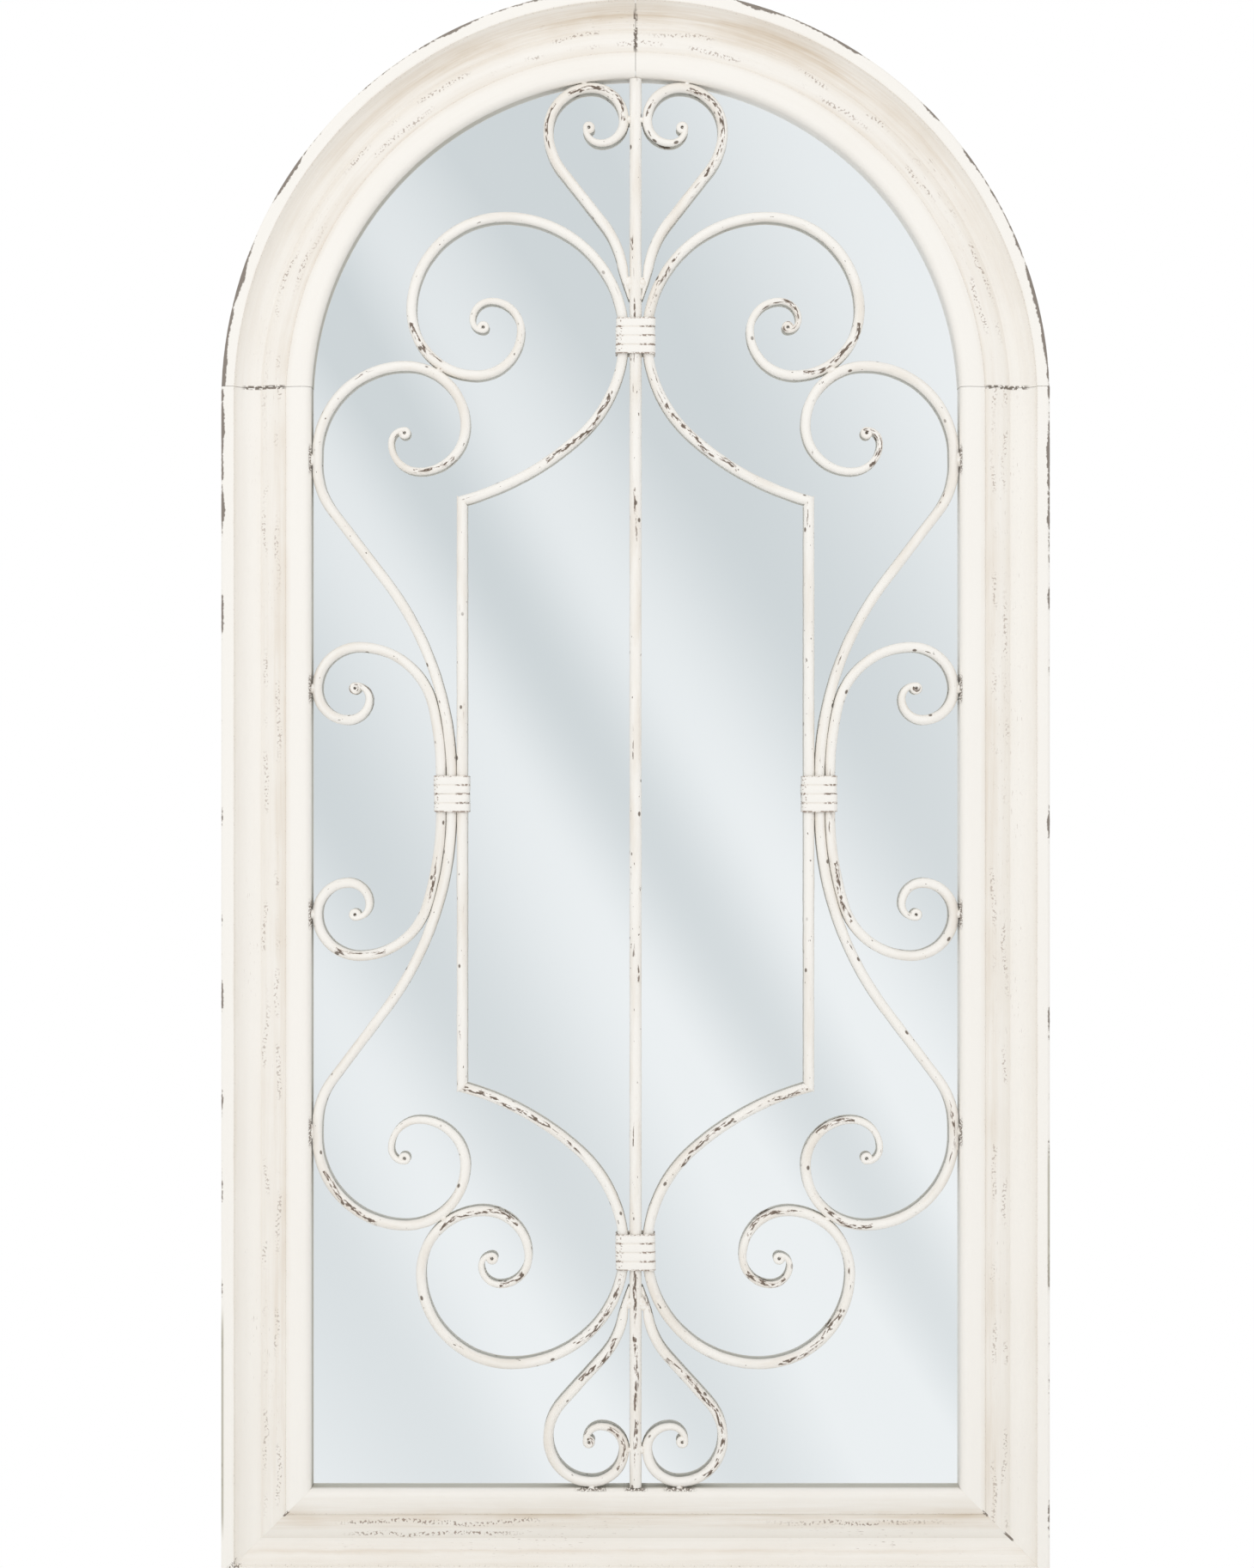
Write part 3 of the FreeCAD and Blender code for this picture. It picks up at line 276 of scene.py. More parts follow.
def mark_along(bar, stations, offset):
    """Keeps for each corner its place along, across and out from the bar, and how far it is from an eye."""
    places = []
    distances = []
    for corner in bar.data.vertices:
        (x, z), heading, gone, eye = stations[corner.index // ROUND]
        angle = math.radians(heading)
        right = corner.co.x / MM - x
        up = corner.co.z / MM - z
        places += [gone + offset, up * math.cos(angle) - right * math.sin(angle), (BAR_Y - corner.co.y) / MM]
        distances.append(math.dist((x + right, z + up), eye) if eye else FAR_FROM_EYES)
    mark(bar, "straightened", places, "FLOAT_VECTOR")
    mark(bar, "eye_rim", distances)


def bend_bar(name, start, heading, legs, radius_at, offset):
    """Closed tube along legs whose radius follows the distance from its start."""
    bpy.ops.object.select_all(action="DESELECT")
    bpy.ops.mesh.primitive_circle_add(
        vertices=ROUND, radius=radius_at(0) * MM, location=(start[0] * MM, BAR_Y, start[1] * MM),
        rotation=(0, math.radians(90 - heading), 0))
    bar = named(name)
    settle()
    edit_all(bar)
    point = start
    gone = 0
    stations = [(point, heading, gone, None)]
    for leg in legs:
        kind, size, sweep = leg
        eye = ahead(point, heading + math.copysign(90, sweep), size) if leg[:2] == ("turn", EYE[0]) else None
        steps = math.ceil(max(length_of(leg) / LONGEST_STEP, abs(sweep) / WIDEST_STEP))
        short = run(size / steps) if kind == "run" else turn(size, sweep / steps)
        for _ in range(steps):
            before = radius_at(gone)
            point, heading = step_on(point, heading, short)
            gone += length_of(short)
            thinner = radius_at(gone) / before
            if thinner != 1:
                bpy.ops.transform.resize(value=(thinner, thinner, thinner),
                                         center_override=(point[0] * MM, BAR_Y, point[1] * MM))
            stations.append((point, heading, gone, eye))
    bpy.ops.mesh.edge_face_add()
    bpy.ops.mesh.select_all(action="DESELECT")
    mode("OBJECT")
    for corner in bar.data.vertices[:ROUND]:
        corner.select = True
    mode("EDIT")
    bpy.ops.mesh.edge_face_add()
    mode("OBJECT")
    mark_along(bar, stations, offset)
    face_outwards(bar)
    return bar


def thinning(legs, first_curl, last_curl):
    """Radius along a bar that thins in the quarter turns at its start, at its end, or at both."""
    length = length_of(*legs)
    eye = length_of(turn(*EYE))

    def radius_at(gone):
        share = 0
        for radii, left in ((first_curl, gone), (last_curl, length - gone)):
            if radii:
                share = max(share, min(1, 1 - (left - eye) / curl_length(radii)))
        return SCROLL_RADIUS + (TIP_RADIUS - SCROLL_RADIUS) * share

    return radius_at


def pointed(radius_at, length):
    """Radius of a bar whose start is drawn out to a point over a length."""
    return lambda gone: radius_at(gone) * min(1, POINT_SHARE + (1 - POINT_SHARE) * gone / length)


# %% [markdown]
# Hammer marks leave the rods a little uneven. A soft cloud displaces each tube by a few tenths of a
# millimetre, and then the tube takes smooth shading. The left half of the grille is a mirrored copy
# with its own paint wear.

# %% Finishing a bar
HAMMERED = 0.5
HAMMER_MARK = 11
SMOOTH_BELOW = math.radians(50)
# Where each bar starts in the pattern of wear, so that no two bars wear alike
LEFT_WEAR = 5000
SCROLL_WEAR = 700
UPRIGHT_WEAR = 1900
CENTRE_WEAR = 3100
OUTER_WEAR = 900
HEART_WEAR, HEART_STEP = 2300, 400
# Stretches rubbed through the paint, from the start of each bar
WORN = {
    "centre_bar": ((30, 110),),
    "upper_heart_right": ((105, 185), (212, 226)),
    "upper_heart_left": ((175, 230),),
    "lower_heart_right": ((55, 165),),
    "lower_heart_left": ((40, 80), (200, 240)),
    "upper_scroll_right": ((60, 130), (440, 500)),
    "upper_scroll_left": ((70, 145), (440, 480)),
    "lower_scroll_right": ((5, 30), (65, 115), (330, 395), (490, 530), (560, 590)),
    "lower_scroll_left": ((5, 70), (205, 265), (457, 522), (560, 580)),
    "shoulder_scroll_right": ((60, 90), (150, 190), (1080, 1120)),
    "shoulder_scroll_left": ((205, 260), (1040, 1075), (1180, 1215)),
    "side_scroll_right": ((190, 240),),
    "side_scroll_left": ((120, 160),),
}
hammer_marks = bpy.data.textures.new("hammer_marks", "CLOUDS")
hammer_marks.noise_scale = HAMMER_MARK * MM


def hammer(obj, strength=HAMMERED):
    """Displaces a surface slightly, as hammering does, and shades it smooth."""
    modify(obj, "DISPLACE", texture=hammer_marks, texture_coords="LOCAL", strength=strength * MM)
    bpy.ops.object.shade_smooth_by_angle(angle=SMOOTH_BELOW)


def places_on(bar):
    """Places along, across and out from a bar that its corners keep, as one row of numbers."""
    marks = bar.data.attributes["straightened"].data
    places = [0.0] * (3 * len(marks))
    marks.foreach_get("vector", places)
    return places


def mirrored(right, name):
    """Copy of a piece on the other side of the centre, with other wear."""
    focus(right)
    bpy.ops.object.duplicate()
    left = named(name)
    bpy.ops.transform.resize(value=(-1, 1, 1), center_override=(0, 0, 0))
    settle()
    face_outwards(left)
    places = places_on(left)
    places[0::3] = [place + LEFT_WEAR for place in places[0::3]]
    left.data.attributes["straightened"].data.foreach_set("vector", places)
    return left


grille = {}


def keep_bar(bar, node):
    """Lets a bar stand for its CAD piece, and marks the stretches where it is worn."""
    along = places_on(bar)[0::3]
    first = min(along)
    worn = WORN.get(node, ())
    mark(bar, "wear", [float(any(start < at - first < stop for start, stop in worn)) for at in along])
    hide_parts(node)
    grille[node] = bar


def keep_bars(right, node):
    """Lets a bar of the right half and its mirror image stand for their CAD pieces."""
    hammer(right)
    keep_bar(mirrored(right, node + "_left_bar"), node + "_left")
    keep_bar(right, node + "_right")


# %% [markdown]
# ## Large scrolls and the panel between them
# Each large scroll is one rod: it comes off the panel's corner as a shallow arc, stands upright
# against the centre bar in the collar and rolls away in seven quarter turns that tighten to the eye.
# The panel's uprights meet the arcs in mitres, so each rod is cut off in the corner's middle plane.

# %% Large scrolls, centre bar and uprights
ENDS = {
    "upper": (1, UPPER_COLLAR_Z, UPPER_TURNS),
    "lower": (-1, LOWER_COLLAR_Z, LOWER_TURNS),
}
MITRE_SPARE = 8


def cut_mitre(bar, corner, along):
    """Cuts a bar off beyond the plane through a corner that is square to a direction."""
    edit_all(bar)
    bpy.ops.mesh.bisect(plane_co=(corner[0] * MM, BAR_Y, corner[1] * MM), plane_no=(along[0], 0, along[1]),
                        use_fill=True, clear_outer=True)
    mode("OBJECT")


mitres = {}
for end, (up, collar_z, turns) in ENDS.items():
    start = (MAIN_X, collar_z)
    corner = (SIDE_BAR_X, collar_z - up * PANEL_CORNER_DROP)
    arc = [turn(PANEL_BEND[0], up * PANEL_BEND[1])]
    bent = trace(start, -90 * up, arc)[-1]
    arc.append(reach(*bent, corner))
    corner_heading = trace(start, -90 * up, arc)[-1][1]
    arc.append(run(MITRE_SPARE))
    legs = backwards(arc) + rolled(turns, -up)
    tail, tail_heading = trace(start, -90 * up, arc)[-1]
    bar = bend_bar(end + "_scroll_right_bar", tail, tail_heading + 180, legs,
                   thinning(legs, (), turns[3:]), SCROLL_WEAR * up)
    angle = math.radians(corner_heading)
    beyond = (math.cos(angle), math.sin(angle) - up)
    cut_mitre(bar, corner, beyond)
    mitres[end] = (corner, beyond)
    keep_bars(bar, end + "_scroll")

lower_corner = mitres["lower"][0]
upper_corner = mitres["upper"][0]
upright_start = (SIDE_BAR_X, lower_corner[1] - MITRE_SPARE)
upright = bend_bar("side_bar_right_bar", upright_start, 90,
                   [run(upper_corner[1] - lower_corner[1] + 2 * MITRE_SPARE)],
                   lambda gone: SIDE_RADIUS, UPRIGHT_WEAR)
for corner, beyond in mitres.values():
    cut_mitre(upright, corner, (-beyond[0], -beyond[1]))
keep_bars(upright, "side_bar")

low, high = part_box("centre_bar")
centre_length = (high[2] - low[2]) / MM
centre = bend_bar("centre_bar_bar", (0, low[2] / MM), 90, [run(centre_length)],
                  lambda gone: CENTRE_RADIUS, CENTRE_WEAR)
hammer(centre)
keep_bar(centre, "centre_bar")
print("bars so far:", len(grille))


# %% [markdown]
# ## Shoulder scrolls, side scrolls and hearts
# These rods lean away from the bar that they are tied to in an S: a long bend, a straight and a
# tighter bend at the hip. The shoulder scrolls then run along the moulding for a short weld and curl
# in under the large scrolls. The side scrolls follow them out of the collar and roll the other way.

# %% Shoulder scrolls, side scrolls and hearts
def s_bend(across, rise, lean_share, hip_share, out):
    """Two bends and the straight between them, which carry an upright rod over to one side."""
    lean = 2 * lean_share * math.atan2(across, rise)
    bends = (rise * math.sin(lean) - across * math.cos(lean)) / (1 - math.cos(lean))
    straight = across / math.tan(lean / 2) - rise
    sweep = out * math.degrees(lean)
    return [turn(bends * (1 - hip_share), sweep), run(straight), turn(bends * hip_share, -sweep)]


shoulder_legs = {}
side_legs = {}
# Places of the welds on the right half, and how far each bead is stretched
welds = []
for end, (up, collar_z, turns) in ENDS.items():
    knot = (MAIN_X + turns[0] + turns[1] - turns[2], collar_z + up * (turns[0] - turns[1]))
    rest = (WELD_LINE - SHOULDER_TURNS[0], knot[1] - up * KNOT_DROPS[end])
    shoulder_z = rest[1] - up * (SHOULDER_TURNS[0] - SHOULDER_TURNS[1])
    share = (turns[2] + PITCH / 2) / (turns[2] + SHOULDER_TURNS[1] + PITCH)
    welds.append((knot[0] + (rest[0] - knot[0]) * share, knot[1] + (rest[1] - knot[1]) * share, 1))
    welds.append((SIGHT_HALF, shoulder_z - up * SHOULDER_FLAT / 2, 2))
    rise = up * (shoulder_z - MIDDLE_Z) - SHOULDER_FLAT - COLLAR_HALF
    stem = s_bend(WELD_LINE - SHOULDER_X, rise, SHOULDER_LEAN, SHOULDER_HIP, -up)
    shoulder_legs[end] = [run(COLLAR_HALF)] + stem + [run(SHOULDER_FLAT)] + rolled(SHOULDER_TURNS, up)
    follow = stem[0][1] - PITCH
    side_follow = SIDE_FOLLOWS[end]
    turned = math.radians(side_follow)
    arm = WELD_LINE - SIDE_TURNS[0] - SIDE_X - follow * (1 - math.cos(turned))
    arm_bend = turn(arm / math.cos(turned), -up * (90 - side_follow))
    side_legs[end] = [run(COLLAR_HALF), turn(follow, -up * side_follow), arm_bend] + rolled(SIDE_TURNS, -up)
    touch = trace((SIDE_X, MIDDLE_Z), 90 * up, side_legs[end][:4])[-1][0]
    welds.append((SIGHT_HALF, touch[1], 1.6))

for node, x, legs, curl in (("shoulder_scroll", SHOULDER_X, shoulder_legs, SHOULDER_TURNS[2:]),
                            ("side_scroll", SIDE_X, side_legs, SIDE_TURNS[2:])):
    foot, foot_heading = trace((x, MIDDLE_Z), -90, legs["lower"])[-1]
    whole = backwards(legs["lower"]) + legs["upper"]
    bar = bend_bar(node + "_right_bar", foot, foot_heading + 180, whole,
                   thinning(whole, curl, curl), OUTER_WEAR + x)
    keep_bars(bar, node)

belly_x = MAIN_X + HEART_TURNS[1]
HEART_Z = {
    "upper": SPRING + math.sqrt((WELD_LINE - HEART_TURNS[0]) ** 2 - belly_x ** 2),
    "lower": FACE_WIDTH + WELD_GAP + SCROLL_RADIUS + HEART_TURNS[0],
}
for end, (up, collar_z, turns) in ENDS.items():
    stem_z = collar_z + up * (math.sqrt(turns[0] ** 2 - (turns[0] - PITCH) ** 2) + HEART_STEM_AIR)
    rise = up * (HEART_Z[end] - stem_z)
    stem = s_bend(HEART_TURNS[0] + HEART_TURNS[1], rise, HEART_LEAN, HEART_HIP, -up)
    _, bend, sweep = stem[0]
    eased = math.copysign(STEM_EASE, sweep)
    joint, lean = walk((MAIN_X, stem_z), 90 * up, turn(bend, eased))
    tip = (CENTRE_RADIUS, stem_z - up * STEM_DROP)
    drawn = reach(joint, lean + 180, tip)
    tip_heading = walk(joint, lean + 180, drawn)[1] + 180
    legs = backwards([drawn]) + [turn(bend, sweep - eased)] + stem[1:] + rolled(HEART_TURNS, up)
    bar = bend_bar(end + "_heart_right_bar", tip, tip_heading, legs,
                   pointed(thinning(legs, (), HEART_TURNS[2:]), STEM_POINT), HEART_WEAR + HEART_STEP * up)
    keep_bars(bar, end + "_heart")
    welds.append((CENTRE_RADIUS, stem_z, 2.4))
    welds.append((CENTRE_RADIUS, HEART_Z[end] + up * (HEART_TURNS[0] - HEART_TURNS[1]), 1))
crown_angle = math.atan2(HEART_Z["upper"] - SPRING, belly_x)
welds.append((SIGHT_HALF * math.cos(crown_angle), SPRING + SIGHT_HALF * math.sin(crown_angle), 1))
welds.append((belly_x, FACE_WIDTH, 1))
print("bars of the grille:", len(grille))

# %% [markdown]
# ## Collars
# A collar is a flat strip wrapped four times round three bars while it is hot. One turn of the strip
# starts as a box with rounded corners, loses its top and bottom and gets the strip's thickness. Its
# copies are stacked with small shifts, because no two turns of a wrapped strip lie quite alike.

# %% Collars
STRIP_AIR = 0.25
STRIP_ROUND = 0.65
STRIP_LAP = 0.15
STRIP_TILT = 1.2
STRIP_HAMMERED = 0.8


def copied(piece, count):
    """A piece with enough copies of it, each with its own mesh, to make up a number."""
    pieces = [piece]
    for _ in range(count - 1):
        focus(piece)
        bpy.ops.object.duplicate()
        pieces.append(bpy.context.object)
    return pieces


def joined(pieces, name):
    """One object made of several."""
    focus(pieces[0])
    for piece in pieces:
        piece.select_set(True)
    bpy.ops.object.join()
    pieces[0].name = name
    return pieces[0]


def collar_turn(name, half_width, half_depth, half_height):
    """One turn of a wrapped strip about the origin."""
    bpy.ops.object.select_all(action="DESELECT")
    bpy.ops.mesh.primitive_cube_add(size=2, location=(0, 0, 0))
    strip = named(name)
    bpy.ops.transform.resize(value=(half_width * MM, half_depth * MM, half_height * MM))
    settle()
    mode("EDIT")
    bpy.ops.mesh.select_all(action="DESELECT")
    bpy.ops.mesh.select_mode(type="EDGE")
    mode("OBJECT")
    corners = strip.data.vertices
    for edge in strip.data.edges:
        low, high = [corners[index].co.z for index in edge.vertices]
        edge.select = low * high < 0
    mode("EDIT")
    bpy.ops.mesh.bevel(offset=COLLAR_CORNER * MM, segments=6, affect="EDGES")
    bpy.ops.mesh.select_all(action="DESELECT")
    bpy.ops.mesh.select_mode(type="FACE")
    mode("OBJECT")
    for face in strip.data.polygons:
        face.select = abs(face.normal.z) > 0.9
    mode("EDIT")
    bpy.ops.mesh.delete(type="FACE")
    bpy.ops.mesh.select_all(action="SELECT")
    bpy.ops.mesh.normals_make_consistent(inside=False)
    bpy.ops.mesh.select_mode(type="VERT")
    mode("OBJECT")
    modify(strip, "SOLIDIFY", thickness=COLLAR_WALL * MM, offset=-1)
    modify(strip, "BEVEL", width=STRIP_ROUND * MM, segments=3, limit_method="ANGLE",
           angle_limit=math.radians(60))
    return strip


def wrapped_collar(node):
    """Stack of turns in the place of a CAD collar."""
    low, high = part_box(node)
    half_width = (high[0] - low[0]) / 2 / MM
    half_depth = (high[1] - low[1]) / 2 / MM
    pitch = (high[2] - low[2]) / COLLAR_TURNS / MM
    first = collar_turn(node + "_strip", half_width - STRIP_AIR, half_depth - STRIP_AIR,
                        pitch / 2 + STRIP_LAP)
    strips = copied(first, COLLAR_TURNS)
    for number, strip in enumerate(strips):
        focus(strip)
        height = low[2] + pitch * (number + 0.5) * MM
        shift = random.uniform(-STRIP_AIR, STRIP_AIR) * MM
        bpy.ops.transform.rotate(value=math.radians(random.uniform(-STRIP_TILT, STRIP_TILT)), orient_axis="Y",
                                 center_override=(0, 0, 0))
        middle = (low[0] + high[0]) / 2 + shift
        bpy.ops.transform.translate(value=(middle, (low[1] + high[1]) / 2, height))
        settle()
    collar = joined(strips, node + "_wrap")
    places = []
    for corner in collar.data.vertices:
        right = (corner.co.x - (low[0] + high[0]) / 2) / MM
        places += [right, (corner.co.z - low[2]) / MM, (BAR_Y - corner.co.y) / MM]
    mark(collar, "straightened", places, "FLOAT_VECTOR")
    hammer(collar, STRIP_HAMMERED)
    return collar


collars = {}
for node in ("upper_collar", "lower_collar", "side_collar_right", "side_collar_left"):
    collars[node] = wrapped_collar(node)
    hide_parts(node)
print("collars:", len(collars))

# %% [markdown]
# ## Weld beads
# The rods are joined to the moulding and to one another by small welds, which the paint has covered.
# One ball is squashed and roughened into a bead, and copies of it sit in the nook of every joint.

# %% Weld beads
BEAD = 2.4
BEAD_FRONT = 1.2
BEAD_SHAPE = (0.8, 0.9, 1.25)
BEAD_SWELL = (0.85, 1.15)
BEAD_TURN = 6
for corner, _ in mitres.values():
    welds.append((*corner, 1))
weld_places = [(side * x, z, stretch) for x, z, stretch in welds for side in (1, -1)]
weld_places += [(0, FACE_WIDTH, 1), (0, SPRING + SIGHT_HALF, 1)]
bpy.ops.object.select_all(action="DESELECT")
bpy.ops.mesh.primitive_ico_sphere_add(subdivisions=4, radius=BEAD * MM)
bead = named("weld_beads")
bpy.ops.transform.resize(value=BEAD_SHAPE)
settle()
hammer(bead)
beads = copied(bead, len(weld_places))
for copy, (x, z, stretch) in zip(beads, weld_places):
    focus(copy)
    swell = random.uniform(*BEAD_SWELL)
    bpy.ops.transform.rotate(value=random.uniform(0, BEAD_TURN), orient_axis="Y", center_override=(0, 0, 0))
    bpy.ops.transform.resize(value=(swell, swell, swell * stretch), center_override=(0, 0, 0))
    bpy.ops.transform.translate(value=(x * MM, BAR_Y - BEAD_FRONT * MM, z * MM))
    settle()
welded = joined(beads, "weld_beads")
print("weld beads:", len(weld_places))

# %% [markdown]
# ## Paint in the mitres
# Thick paint closes the joints at the two lower corners. A thin bead runs along the right joint just
# under the moulding's face, whose height is measured on the rail beside it, and is mirrored to the left.

# %% Paint in the mitres
FILL_RADIUS = 0.3
FILL_ROUND = 10
FILL_STEPS = 90
FILL_ENDS = (0.5, FACE_WIDTH - 0.5)
BESIDE_MITRE = 0.8


def mitre_point(share):
    """Point of the right mitre that lies a bead's radius under the face of the rail beside it."""
    across = FILL_ENDS[0] + (FILL_ENDS[1] - FILL_ENDS[0]) * share
    before_rail = ((HALF_WIDTH - across - BESIDE_MITRE) * MM, 2 * cad_low[1], across * MM)
    _, face, _, _ = nodes["bottom_rail"].ray_cast(before_rail, (0, 1, 0))
    return (HALF_WIDTH - across) * MM, face.y + FILL_RADIUS * MM, across * MM


fill_points = [mitre_point(step / FILL_STEPS) for step in range(FILL_STEPS + 1)]
bpy.ops.object.select_all(action="DESELECT")
bpy.ops.mesh.primitive_circle_add(vertices=FILL_ROUND, radius=FILL_RADIUS * MM, fill_type="NGON",
                                  location=fill_points[0], rotation=(0, math.radians(-45), 0))
filled = named("mitre_paint")
settle()
edit_all(filled)
for start, stop in zip(fill_points, fill_points[1:]):
    move = [far - near for near, far in zip(start, stop)]
    bpy.ops.mesh.extrude_region_move(TRANSFORM_OT_translate={"value": move})
mode("OBJECT")
modify(filled, "MIRROR")
face_outwards(filled)
bpy.ops.object.shade_smooth_by_angle(angle=SMOOTH_BELOW)
print("faces of the mitres' paint:", len(filled.data.polygons))


# %% [markdown]
# ## Finishes
# All finishes are worked out from places on the object, so they sit where wear, glaze and painted shade
# would. The class below gives short names to the nodes that the finishes share.

# %% Nodes for finishes
class Finish:
    """A material, or the world, and the nodes that it is made of."""

    def __init__(self, owner):
        """Takes the name of a new material, or a world."""
        self.owner = bpy.data.materials.new(owner) if isinstance(owner, str) else owner
        self.owner.use_nodes = True
        self.tree = self.owner.node_tree
        self.tree.nodes.clear()

    def add(self, kind, *inputs, **settings):
        """Node of a kind with its first inputs linked or set."""
        made = self.tree.nodes.new("ShaderNode" + kind)
        for key, setting in settings.items():
            setattr(made, key, setting)
        for socket, given in zip(made.inputs, inputs):
            if isinstance(given, bpy.types.NodeSocket):
                self.tree.links.new(given, socket)
            elif given is not None:
                socket.default_value = given
        return made

    def here(self):
        """Place on the object, in metres."""
        return self.add("TexCoord").outputs["Object"]

    def marked(self, name):
        """What the corners keep under a name."""
        return self.add("Attribute", attribute_name=name).outputs

    def maths(self, operation, *inputs):
        """Result of an operation on numbers."""
        return self.add("Math", *inputs, operation=operation).outputs[0]

    def fade(self, number, start, end):
        """0 at the start, 1 at the end and smooth between them."""
        return self.add("MapRange", number, start, end, 0.0, 1.0, interpolation_type="SMOOTHSTEP").outputs[0]

    def near(self, number, place, half, soft):
        """1 within half a width of a place, fading over a soft edge."""
        away = self.maths("ABSOLUTE", self.maths("SUBTRACT", number, place))
        return self.fade(away, half + soft, half)

    def stretched(self, place, rates):
        """Place with each direction scaled."""
        return self.add("VectorMath", place, rates, operation="MULTIPLY").outputs[0]

    def noise(self, place, scale=1.0, detail=2.0, roughness=0.5):
        """Soft random pattern from 0 to 1."""
        return self.add("TexNoise", place, None, scale, detail, roughness).outputs[0]

    def pattern(self, place, rates, detail=2.0, roughness=0.5):
        """Soft random pattern that changes at its own rate in each direction."""
        return self.noise(self.stretched(place, rates), 1.0, detail, roughness)

    def both(self, *masks):
        """Product of masks."""
        return functools.reduce(lambda one, other: self.maths("MULTIPLY", one, other), masks)

    def either(self, *masks):
        """Largest of masks."""
        return functools.reduce(lambda one, other: self.maths("MAXIMUM", one, other), masks)

    def over(self, colour, coat, *masks):
        """Colour with a coat of another over it, as thick as the product of masks."""
        unused = [None] * 5
        mixed = self.add("Mix", self.both(*masks), *unused, colour, coat, data_type="RGBA")
        return mixed.outputs[2]

    def ramp(self, number, stops, course="LINEAR"):
        """Amount between 0 and 1 that runs through stops."""
        made = self.add("ValToRGB", number)
        made.color_ramp.interpolation = course
        elements = made.color_ramp.elements
        while len(elements) < len(stops):
            elements.new(1.0)
        for element, (place, level) in zip(elements, stops):
            element.position = place
            element.color = (level, level, level, 1)
        return made.outputs[0]

    def finish(self, colour, roughness, metallic=0.0, bump=None, lift=0.0, sheen=0.5):
        """Closes the material with its surface."""
        surface = self.add("BsdfPrincipled", colour, metallic, roughness)
        surface.inputs["Specular IOR Level"].default_value = sheen
        if bump is not None:
            relief = self.add("Bump", 1.0, lift * MM)
            self.tree.links.new(bump, relief.inputs["Height"])
            self.tree.links.new(relief.outputs[0], surface.inputs["Normal"])
        self.add("OutputMaterial", surface.outputs[0])
        return self.owner


CREAM = (0.925, 0.898, 0.850, 1)
# Glaze brown, which is also the colour of the painted shade and shadow in the moulding's cove
GLAZE_AND_SHADE = (0.670, 0.560, 0.430, 1)
RUST = (0.235, 0.150, 0.105, 1)
# Dark brown of bare metal, also used for the painted shade in the eyes' holes and beside the welds
BARE_METAL_AND_SHADE = (0.135, 0.098, 0.070, 1)
# Olive serves only as painted shade: on the sight edge's return, the uprights' outer edges and the bars'
# sides towards the glass
SHADE_OLIVE = (0.430, 0.405, 0.325, 1)

# %% [markdown]
# ## Paint of the moulding
# The moulding is cream paint with a thin brown glaze that was wiped off again, so it stays in the
# quirks, the cove and the crease. The glaze amounts also carry painted shade and a painted shadow
# under the outer band, most in the cove at the crown. Painted shade darkens the sight edge's return
# on the left and along the rail, stretches of the uprights' outer edges and the sight edge beside
# the welds. The sharp outer edge is chipped in long broken runs, rows of small
# dots and scratches follow the crease, and seams and mitres show dark marks. The pattern is laid out
# across and along the moulding, and the arch, the uprights and the rail each work out those two from
# their own geometry.

# %% Paint of the moulding
# Amount of glaze and painted shade at places across the moulding, as parts of its width
GLAZE_AND_SHADE_ACROSS = {
    "stile": ((0.0, 0.02), (0.13, 0.01), (0.148, 0.16), (0.19, 0.07), (0.32, 0.03), (0.41, 0.06),
              (0.425, 0.12), (0.45, 0.12), (0.56, 0.14), (0.61, 0.28), (0.70, 0.28), (0.74, 0.12),
              (0.78, 0.01), (1.0, 0.04)),
    "arch": ((0.0, 0.04), (0.12, 0.03), (0.15, 0.20), (0.21, 0.45), (0.27, 0.72), (0.33, 0.56),
             (0.39, 0.40), (0.44, 0.26), (0.50, 0.12), (0.56, 0.06), (0.62, 0.12), (0.70, 0.20),
             (0.79, 0.05), (1.0, 0.08)),
    "rail": ((0.0, 0.08), (0.13, 0.08), (0.148, 0.16), (0.24, 0.10), (0.28, 0.34), (0.31, 0.14),
             (0.41, 0.06), (0.47, 0.0), (0.53, 0.05), (0.57, 0.28), (0.63, 0.38), (0.70, 0.52),
             (0.75, 0.30), (0.81, 0.16), (1.0, 0.06)),
}
# Middle of the arch's stretch with the most glaze and painted shadow, under the outer band at the crown where
# the cove faces down, half its length and soft ends, and the share elsewhere
SHADED_CROWN = (435.0, 97.0, 300.0)
AWAY_FROM_CROWN = 0.15
RIGHT_SIDE = 1700.0
# Where painted shade begins and is thickest on the return of the sight edge, along each kind of length
RETURN_SHADE = {"stile": (1500.0, 1400.0), "arch": (400.0, 600.0), "rail": (-400.0, -350.0)}
# Stretches of the uprights' outer edges with painted shade, where the rounded edge falls away: middle, half a
# length and soft ends
EDGE_SHADE = ((115.0, 65.0, 25.0), (RIGHT_SIDE + 267.0, 36.0, 25.0))
DOT_ROWS = (32.0, 41.0)
DOT_SHIFT = 900.0
DOT_WANDER = 12.0
RUBBED = {"stile": 0.45, "arch": 0.55, "rail": 0.75}
# Stretches of the rail with dots, for each row: middle, half a length and soft ends
RAIL_DOTS = (((-150.0, 45.0, 25.0),), ((-145.0, 60.0, 20.0), (165.0, 5.0, 80.0)))
STILE_WELDS = [z for x, z, _ in welds if x == SIGHT_HALF]
CREASE = 28
STEPS = (9.8, 47.3)
SIGHT_RETURN = 25
FRONT_EDGE = 34.0
CHIPPED = 12.0
CHIP_SHARE = {"stile": -0.06, "arch": -0.01, "rail": -0.04}
